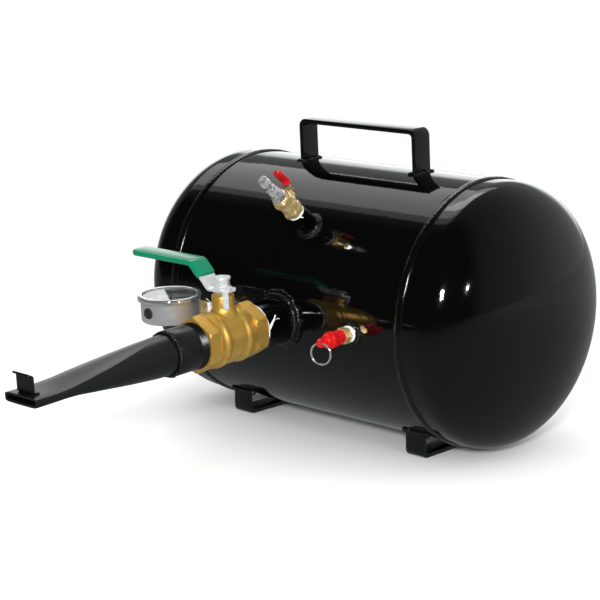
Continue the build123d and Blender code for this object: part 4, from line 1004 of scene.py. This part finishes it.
# A nickel-plated quick-connect plug is screwed into the charging valve. It is turned from bar, with a
# hexagon, two necks, a groove where the coupler's balls lock, and an open bore.
end = 200.9
plug_profile = [
    (3.4, 196.2), (6.2, 196.2), (6.2, end), (7.9, end + 0.05), (8.5, end + 0.5), (8.6, end + 1.1),
    (8.6, end + 5.3), (8.3, end + 6.1), (7.7, end + 6.8), (6.6, end + 7.3), (6.4, end + 7.9),
    (6.4, end + 9.4), (5.5, end + 9.9), (5.5, end + 10.9), (6.4, end + 11.4), (6.4, end + 13.9),
    (6.2, end + 14.6), (5.9, end + 15.2), (5.9, end + 19.0), (5.7, end + 19.5), (4.4, end + 20.4),
    (4.2, end + 21.0), (4.2, end + 24.8), (4.4, end + 25.4), (5.7, end + 26.3), (5.9, end + 26.9),
    (5.9, end + 29.6), (5.7, end + 30.3), (5.4, end + 30.9), (5.4, end + 34.9), (5.2, end + 35.5),
    (4.7, end + 35.8), (3.7, end + 35.8), (3.4, end + 35.3),
]
plug_flats = hex_rows(plug_profile, end + 0.05, end + 6.8, 8.6, 15)
turned("air_plug_turned", inlet, plug_profile, 96, chrome, "chrome", "air_plug", flats=plug_flats)

# The relief valve has a brass body and a red anodised aluminium bonnet, fluted for the fingers. Pulling the
# split ring in its cap lifts the spring-loaded poppet.
relief_profile = [
    (3.0, 138.2), (6.5, 138.2), (6.5, 149.8), (8.2, 150.0), (9.0, 150.5), (9.2, 151.1), (9.2, 157.4),
    (9.0, 158.0), (8.0, 158.4), (6.0, 158.4), (5.8, 162.2), (3.0, 162.3),
]
relief_flats = hex_rows(relief_profile, 150.0, 158.4, 9.2)
turned(
    "relief_body_hex", relief, relief_profile, 96, turned_brass, "brass_bar", "safety_body",
    flats=relief_flats,
)
anodised = metal(
    "red_anodised", (0.86, 0.018, 0.022), (0.5, 0.005, 0.01),
    1300, 240, 0.5, 0.16, 0.34, 0.15, 0.0003, metallic=0.5,
)
bonnet_profile = [
    (5.9, 158.5), (7.0, 158.5), (7.4, 158.9), (7.5, 161.0), (7.2, 161.6), (7.2, 162.6), (7.6, 163.2),
    (8.0, 164.2), (8.1, 166.8), (7.8, 167.4), (7.8, 168.2), (8.2, 168.9), (8.6, 170.2), (8.9, 172.0),
    (9.0, 173.8), (9.0, 176.4), (8.7, 177.3), (8.1, 177.8), (2.1, 177.8), (2.1, 174.8), (5.3, 174.8),
    (5.3, 162.6), (5.9, 162.5),
]


def flutes(low, high, count, deep):
    def shift(a, k, r, h):
        if r < 6.5 or not low < h < high:
            return 0.0, 0.0
        return -deep * max(0.0, math.cos(a * count)) ** 1.5, 0.0
    return shift


grooves = flutes(163.0, 177.0, 16, 0.75)
turned(
    "relief_bonnet", relief, bonnet_profile, 192, anodised, "anodised_red", "safety_bonnet",
    sharp=42, lumps=grooves,
)
eye_height = 189.0
nose_profile = [
    (2.05, 178.1), (6.5, 178.1), (7.0, 178.5), (7.0, 181.0), (6.6, 182.3), (5.6, 183.2), (4.2, 183.6),
    (0.02, 183.6), (0.02, 182.9), (2.05, 182.8),
]
eye_points = []
eye_rows = 40
eye_r, hole_r = 4.5, 2.4
for side_x, inset in ((-2.5, 0.5), (-2.0, 0.0), (2.0, 0.0), (2.5, 0.5)):
    for k in range(eye_rows):
        a = 2 * math.pi * k / eye_rows
        x, y = math.cos(a) * (eye_r - inset), math.sin(a) * (eye_r - inset)
        if x < 0:
            if abs(y) > 0.01:
                y = math.copysign(min(abs(y) + 0.35 * abs(x), eye_r - inset), y)
            x *= 1.45
        eye_points.append(relief.at(side_x, y, eye_height + x))
for side_x, inset in ((2.5, -0.4), (2.0, 0.0), (-2.0, 0.0), (-2.5, -0.4)):
    for k in range(eye_rows):
        a = 2 * math.pi * k / eye_rows
        r = hole_r - inset
        eye_points.append(relief.at(side_x, math.sin(a) * r, eye_height + math.cos(a) * r))
nose = lathe(relief, nose_profile, 96, lumps=flutes(178.4, 181.5, 12, 0.5))
cap_metal = joined(nose, (eye_points, walls(8, eye_rows, looped=True)))
piece("relief_cap", *cap_metal, anodised, "relief_plunger", "anodised_red", "safety_cap")
dress(steel, "safety_poppet")

# Inside the bonnet a coil of spring wire holds the poppet shut; the real spring shortens as the ring is
# pulled, but this coil is built at its rest length only.
# The split ring is two turns of hard wire, threaded through the eye of the cap.
def wire_round(middles, outs, side, radii, sides):
    # round wire along a bent path, given the way out and the sideways direction at each point
    points = []
    for middle, out, wire in zip(middles, outs, radii):
        for k in range(sides):
            b = 2 * math.pi * k / sides
            points.append(middle + out * (wire * math.cos(b)) + side * (wire * math.sin(b)))
    return points, walls(len(middles), sides)


coil_low, coil_high, coil_r, coil_wire, coil_turns, coil_steps = 165.2, 174.3, 3.6, 0.45, 4.5, 180
middles, outs = [], []
for i in range(coil_steps + 1):
    t = i / coil_steps
    a = 2 * math.pi * coil_turns * t
    outs.append(relief.x * math.cos(a) + relief.y * math.sin(a))
    height = coil_low + (coil_high - coil_low) * t
    middles.append(relief.at(coil_r * math.cos(a), coil_r * math.sin(a), height))
coil = wire_round(middles, outs, relief.z, [coil_wire] * len(middles), 8)
coil = piece("relief_spring_coil", *coil, steel, "vessel", "spring_steel", "safety_spring", sharp=60)
coil_top = tuple(relief.at(0, 0, coil_high) * MM)
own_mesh(coil)

ring_yaw = math.radians(15)
ring_r, ring_wire, ring_tip, ring_steps = 11.2, 0.72, 0.55, 200
ring_across = Vector((math.cos(ring_yaw), math.sin(ring_yaw), 0))
ring_normal = Vector((math.sin(ring_yaw), -math.cos(ring_yaw), 0))
ring_middle = relief.at(0, 0, eye_height) - Vector((0, 0, ring_r))
middles, outs, radii = [], [], []
for i in range(ring_steps + 1):
    t = i / ring_steps
    a = -2.6 + t * 4 * math.pi * 0.96
    crown = ring_middle + ring_normal * (0.52 * (1 if t > 0.52 else -1) * min(1, abs(t - 0.5) / 0.04))
    out = Vector((0, 0, 1)) * math.cos(a) + ring_across * math.sin(a)
    outs.append(out)
    middles.append(crown + out * ring_r)
    radii.append(ring_wire if 0.004 < t < 0.996 else ring_tip)
split_ring = wire_round(middles, outs, ring_normal, radii, 10)
piece("pull_ring_split", *split_ring, chrome, "ring", "spring_steel", "pull_ring", sharp=60)

# The pressure gauge lies on its back beside the valve: a brushed stainless case, a polished crimped bezel, a
# flat glass window, a white dial with a black needle, and a rubber fill plug in the rim.
brushed = metal(
    "brushed_stainless", (0.70, 0.70, 0.71), (0.46, 0.46, 0.47), 1700, 60,
    0.5, 0.26, 0.46, 0.1, 0.0002, metallic=0.8,
)
polished = metal(
    "polished_rim", (0.84, 0.84, 0.85), (0.64, 0.64, 0.66),
    1200, 80, 0.3, 0.05, 0.14, 0.03, 0.0002, metallic=0.9,
)
dial = Stand(gauge.at(0, 0, 215.5), across_x, -outlet_out, outlet_up)
case_profile = [
    (0.02, 1.3), (20.0, 1.3), (28.6, 1.35), (30.2, 1.8), (31.1, 2.7), (31.5, 3.9), (31.5, 12.0),
    (31.5, 22.0), (31.5, 26.0), (30.3, 26.0), (30.3, 4.2), (28.6, 2.6), (0.02, 2.5),
]
turned("gauge_case_spun", dial, case_profile, 192, brushed, "stainless", "gauge_case")
bezel_profile = [
    (31.55, 24.4), (33.4, 24.4), (34.1, 24.7), (34.5, 25.4), (34.5, 28.0), (34.2, 29.2), (33.5, 30.0),
    (32.7, 30.3), (30.4, 30.3), (29.5, 30.0), (29.0, 29.4), (31.5, 29.3),
]
turned("gauge_bezel_ring", dial, bezel_profile, 192, polished, "chrome", "gauge_bezel")

glass = bpy.data.materials.new("window_glass")
glass.use_nodes = True
glass_tree = glass.node_tree
glass_body = glass_tree.nodes["Principled BSDF"]
glass_body.inputs["Transmission Weight"].default_value = 1.0
glass_body.inputs["IOR"].default_value = 1.46
glass_body.inputs["Base Color"].default_value = (0.97, 0.98, 0.99, 1)
glass_point = add_node(glass_tree, "ShaderNodeTexCoord").outputs["Object"]
glass_film = add_node(glass_tree, "ShaderNodeTexNoise", [("Vector", glass_point)], Scale=130.0, Detail=4.0)
film = span(glass_tree, glass_film.outputs["Fac"], 0.45, 0.8, 0.0, 0.06)
glass_tree.links.new(film, glass_body.inputs["Roughness"])
lens_profile = [(0.02, 26.1), (30.6, 26.1), (30.9, 26.4), (30.9, 28.7), (30.4, 29.25), (0.02, 29.25)]
turned("gauge_glass", dial, lens_profile, 160, glass, "clear_lens", "gauge_window")

card = grained(
    "dial_card", (0.84, 0.85, 0.86), (0.74, 0.75, 0.77), 2400.0, 60.0, 0.4, 0.4, 0.6, 0.05, 0.0001
)
card_profile = [(1.6, 20.0), (29.0, 20.0), (30.1, 20.3), (30.1, 20.8), (28.6, 20.8), (1.6, 20.8)]
turned("gauge_dial_card", dial, card_profile, 128, card, "dial_face", "gauge_dial")
ink = coat(
    "printing_ink", (0.012, 0.012, 0.014), (0.1, 0.1, 0.1), 0.1, 900.0, 0.4, 0.6, 0.05, 0.0001
)
red_ink = coat(
    "red_printing_ink", (0.5, 0.012, 0.012), (0.5, 0.2, 0.2), 0.1, 900.0, 0.4, 0.6, 0.05, 0.0001
)
print_low, print_high = 20.78, 20.86


def dial_mark(a0, a1, r0, r1, steps=1):
    # a raised printed patch between two angles and radii
    points = []
    for i in range(steps + 1):
        a = math.radians(a0 + (a1 - a0) * i / steps)
        for r, h in ((r0, print_low), (r1, print_low), (r1, print_high), (r0, print_high)):
            points.append(dial.at(r * math.cos(a), r * math.sin(a), h))
    return points, walls(steps + 1, 4)


scale_start, scale_sweep = 45, 270
marks = []
for k in range(51):
    a = scale_start - scale_sweep * k / 50
    half, inner = 0.45, 25.2
    if k % 10 == 0:
        half, inner = 0.8, 22.6
    elif k % 5 == 0:
        inner = 24.0
    marks.append(dial_mark(a - half, a + half, inner, 27.4))
marks.append(dial_mark(scale_start, scale_start - scale_sweep, 27.4, 27.9, 90))
piece("dial_scale", *joined(*marks), ink, "vessel", "needle_black", sharp=20)
piece("dial_limit_arc", *dial_mark(-165, -225, 28.1, 28.7, 24), red_ink, "vessel", "anodised_red", sharp=20)
for k, text in enumerate(("0", "40", "80", "120", "160", "200")):
    a = math.radians(scale_start - scale_sweep * k / 5)
    letters = bpy.data.curves.new("figure_" + text, "FONT")
    letters.body = text
    letters.size = 5.2
    letters.extrude = 0.04
    letters.align_x = "CENTER"
    letters.align_y = "CENTER"
    holder = bpy.data.objects.new("figure_holder", letters)
    mesh = bpy.data.meshes.new_from_object(holder)
    middle = dial.at(18.6 * math.cos(a), 18.6 * math.sin(a), print_high)
    points = [middle - dial.x * v.co[0] - dial.y * v.co[1] + dial.z * v.co[2] for v in mesh.vertices]
    faces = [tuple(p.vertices) for p in mesh.polygons]
    bpy.data.objects.remove(holder)
    piece("dial_figure_" + text, points, faces, ink, "vessel", "needle_black", sharp=20)

needle_up = dial.turned(45)
needle_points = []
needle_edge = [(-9, 1.2), (-4, 0.8), (0, 0.8), (18, 0.7), (25.5, 0.12)]
needle_plan = [(x, -y) for x, y in needle_edge] + needle_edge[::-1]
for h, grow in ((22.25, 0.9), (22.65, 1.0), (23.05, 0.75)):
    for x, y in needle_plan:
        needle_points.append(needle_up.at(x, y * grow, h))
hub_profile = [
    (0.02, 14.2), (1.0, 14.2), (1.0, 22.2), (3.0, 22.2), (3.2, 22.5), (3.2, 23.3), (2.7, 23.8),
    (1.3, 24.2), (0.02, 24.3),
]
hub = lathe(dial, hub_profile, 48)
needle_metal = joined((needle_points, walls(3, len(needle_plan))), hub)
needle_black = coat(
    "needle_lacquer", (0.01, 0.01, 0.011), (0.1, 0.1, 0.1), 0.1, 700.0, 0.2, 0.35, 0.05, 0.0001
)
piece("gauge_needle_pressed", *needle_metal, needle_black, "needle", "needle_black", "gauge_needle")

rubber = coat(
    "plug_rubber", (0.012, 0.012, 0.012), (0.1, 0.1, 0.1), 0.3, 1400.0, 0.5, 0.7, 0.3, 0.0003
)
fill = gauge.moved(0, 14.5, 215.5 + 31.5)
plug_face = [
    (0.02, -3.8), (4.2, -3.8), (4.3, 0.0), (5.6, -0.9), (6.0, -0.4), (6.0, 0.9), (5.5, 1.6), (2.2, 1.7),
    (1.6, 1.1), (0.02, 1.0),
]
turned("gauge_fill_plug", fill, plug_face, 64, rubber, "rubber_black", "gauge_plug")
socket_profile = [(2.0, 138.0), (6.5, 138.0), (6.6, 138.6), (6.6, 166.8), (6.4, 167.1), (2.0, 167.1)]
neck = gauge.moved(0, 8.0, 0)
neck_profile = [
    (0.02, 174.8), (7.4, 174.8), (7.6, 175.2), (7.4, 176.2), (6.6, 176.8), (6.5, 177.4), (6.5, 188.6),
    (6.2, 189.3), (0.02, 189.3),
]
stem_metal = joined(
    lathe(gauge, socket_profile, 64),
    block(gauge, (-7.0, -7.0, 167.0), (7.0, 12.0, 175.0), 0.6),
    lathe(neck, neck_profile, 64),
)
piece("gauge_stem_socket", *stem_metal, turned_brass, "vessel", "brass_bar", "gauge_stem")
dress(turned_brass, "bourdon_tube")

# A plain pale floor that runs into a white surround, as a small product is shot on a sweep. A mirror-like
# coat sees it darker in front and brighter behind, with one low white card at the left and back.
scene = bpy.context.scene
scene.view_settings.view_transform = "Standard"
floor_mesh = bpy.data.meshes.new("floor")
floor_mesh.from_pydata([(-6, -6, 0), (6, -6, 0), (6, 6, 0), (-6, 6, 0)], [], [(0, 1, 2, 3)])
floor = bpy.data.objects.new("floor", floor_mesh)
scene.collection.objects.link(floor)
floor_white = bpy.data.materials.new("studio_floor")
floor_white.use_nodes = True
floor_mesh.materials.append(floor_white)
sweep = floor_white.node_tree
floor_body = sweep.nodes["Principled BSDF"]
floor_body.inputs["Base Color"].default_value = (0.93, 0.93, 0.93, 1)
floor_body.inputs["Roughness"].default_value = 0.85
floor_body.inputs["Specular IOR Level"].default_value = 0.1


def mixed(tree, share, first, second):
    return add_node(tree, "ShaderNodeMixShader", [(0, share), (1, first), (2, second)]).outputs[0]


place = add_node(sweep, "ShaderNodeTexCoord").outputs["Object"]
distance = add_node(sweep, "ShaderNodeVectorMath", [(0, place)], operation="LENGTH").outputs["Value"]
far = span(sweep, distance, 0.30, 0.75, ease="SMOOTHSTEP")
glow = add_node(sweep, "ShaderNodeEmission", Color=(1, 1, 1, 1))
floor_seen = mixed(sweep, far, floor_body.outputs[0], glow.outputs[0])
front_back = add_node(sweep, "ShaderNodeSeparateXYZ", [(0, place)]).outputs["Y"]
dim = span(sweep, front_back, -1.6, 1.4, 0.03, 0.4)
mirrored = add_node(sweep, "ShaderNodeEmission", [("Strength", dim)], Color=(0.93, 1.0, 0.98, 1))
floor_ray = add_node(sweep, "ShaderNodeLightPath").outputs["Is Glossy Ray"]
floor_out = sweep.nodes["Material Output"]
sweep.links.new(mixed(sweep, floor_ray, floor_seen, mirrored.outputs[0]), floor_out.inputs["Surface"])

world = bpy.data.worlds.new("studio")
scene.world = world
world.use_nodes = True
sky = world.node_tree
sky.nodes.clear()
sky_out = sky.nodes.new("ShaderNodeOutputWorld")
ray = add_node(sky, "ShaderNodeLightPath").outputs
white = add_node(sky, "ShaderNodeBackground", Color=(1, 1, 1, 1), Strength=1.0)
open_sky = add_node(sky, "ShaderNodeBackground", Color=(1, 1, 1, 1), Strength=1.12)
sky_point = add_node(sky, "ShaderNodeTexCoord").outputs["Generated"]
way = add_node(sky, "ShaderNodeSeparateXYZ", [(0, sky_point)]).outputs
behind = span(sky, way["Y"], -1.0, 1.0)
tone = add_node(sky, "ShaderNodeValToRGB", [("Fac", behind)])
steps = tone.color_ramp.elements
steps[0].position, steps[0].color = 0.40, (0.015, 0.015, 0.015, 1)
steps[1].position, steps[1].color = 0.95, (0.45, 0.46, 0.46, 1)
for position, level in ((0.5, 0.12), (0.75, 0.26)):
    steps.new(position).color = (level, level * 1.02, level * 1.02, 1)
low = span(sky, way["Z"], 0.36, 0.26, ease="SMOOTHSTEP")
left = span(sky, way["X"], -0.1, -0.45, ease="SMOOTHSTEP")
rear = span(sky, way["Y"], 0.3, 0.5, ease="SMOOTHSTEP")
low_card = span(sky, times(sky, times(sky, low, left), rear), 0.0, 1.0, 1.0, 5.0)
soft = add_node(sky, "ShaderNodeBackground", [("Color", tone.outputs["Color"]), ("Strength", low_card)])
lit = mixed(sky, ray["Is Glossy Ray"], open_sky.outputs[0], soft.outputs[0])
sky.links.new(mixed(sky, ray["Is Camera Ray"], lit, white.outputs[0]), sky_out.inputs["Surface"])


# One broad softbox hangs above and behind, with a faint edge strip and a brighter core. Two small key lamps
# stand in front, and leave the pair of bright spots on the right head.
def softbox(name, spot, aim, wide, tall, power):
    lamp = bpy.data.lights.new(name, "AREA")
    lamp.shape = "RECTANGLE"
    lamp.size = wide
    lamp.size_y = tall
    lamp.energy = power
    thing = bpy.data.objects.new(name, lamp)
    scene.collection.objects.link(thing)
    way = Vector(aim) - Vector(spot)
    facing = way.to_track_quat("-Z", "Y").to_matrix().to_4x4()
    thing.matrix_world = Matrix.Translation(Vector(spot)) @ facing


def toward(turn, lift):
    # a direction from the tank, at a turn from its front and a lift from level, in degrees
    t, e = math.radians(turn), math.radians(lift)
    return Vector((math.sin(t) * math.cos(e), -math.cos(t) * math.cos(e), math.sin(e)))


lamp_away = 2.6
softbox("overhead_back", (-1.45, 0.94, 1.9), (-1.45, 0.94, 0), 1.75, 1.56, 11)
softbox("overhead_edge", (-1.45, 0.06, 1.9), (-1.45, 0.06, 0), 1.75, 0.2, 0.5)
softbox("overhead_core", (-0.85, 0.84, 1.88), (-0.85, 0.84, 0), 0.6, 0.8, 3)
softbox("key_front", tank_centre + toward(38, 19) * lamp_away, tank_centre, 0.2, 0.26, 45)
softbox("key_side", tank_centre + toward(74, 16) * lamp_away, tank_centre, 0.09, 0.09, 8)

# The camera is a long lens a little above the tank, turned toward its right end and rolled slightly. Its
# place is measured from the tank's centre.
roll = math.radians(-0.685)
back = toward(43.828, 12.538)
level = Vector((0, 0, 1)).cross(back).normalized()
rise = back.cross(level)
right = level * math.cos(roll) + rise * math.sin(roll)
top = rise * math.cos(roll) - level * math.sin(roll)
camera_data = bpy.data.cameras.new("camera")
camera_data.lens = 112.28
camera_data.sensor_width = 36
camera = bpy.data.objects.new("camera", camera_data)
scene.collection.objects.link(camera)
facing = Matrix((right, top, back)).transposed().to_4x4()
spot = Vector((1.36699, -1.53585, 0.44706)) + tank_centre
camera.matrix_world = Matrix.Translation(spot) @ facing
scene.camera = camera
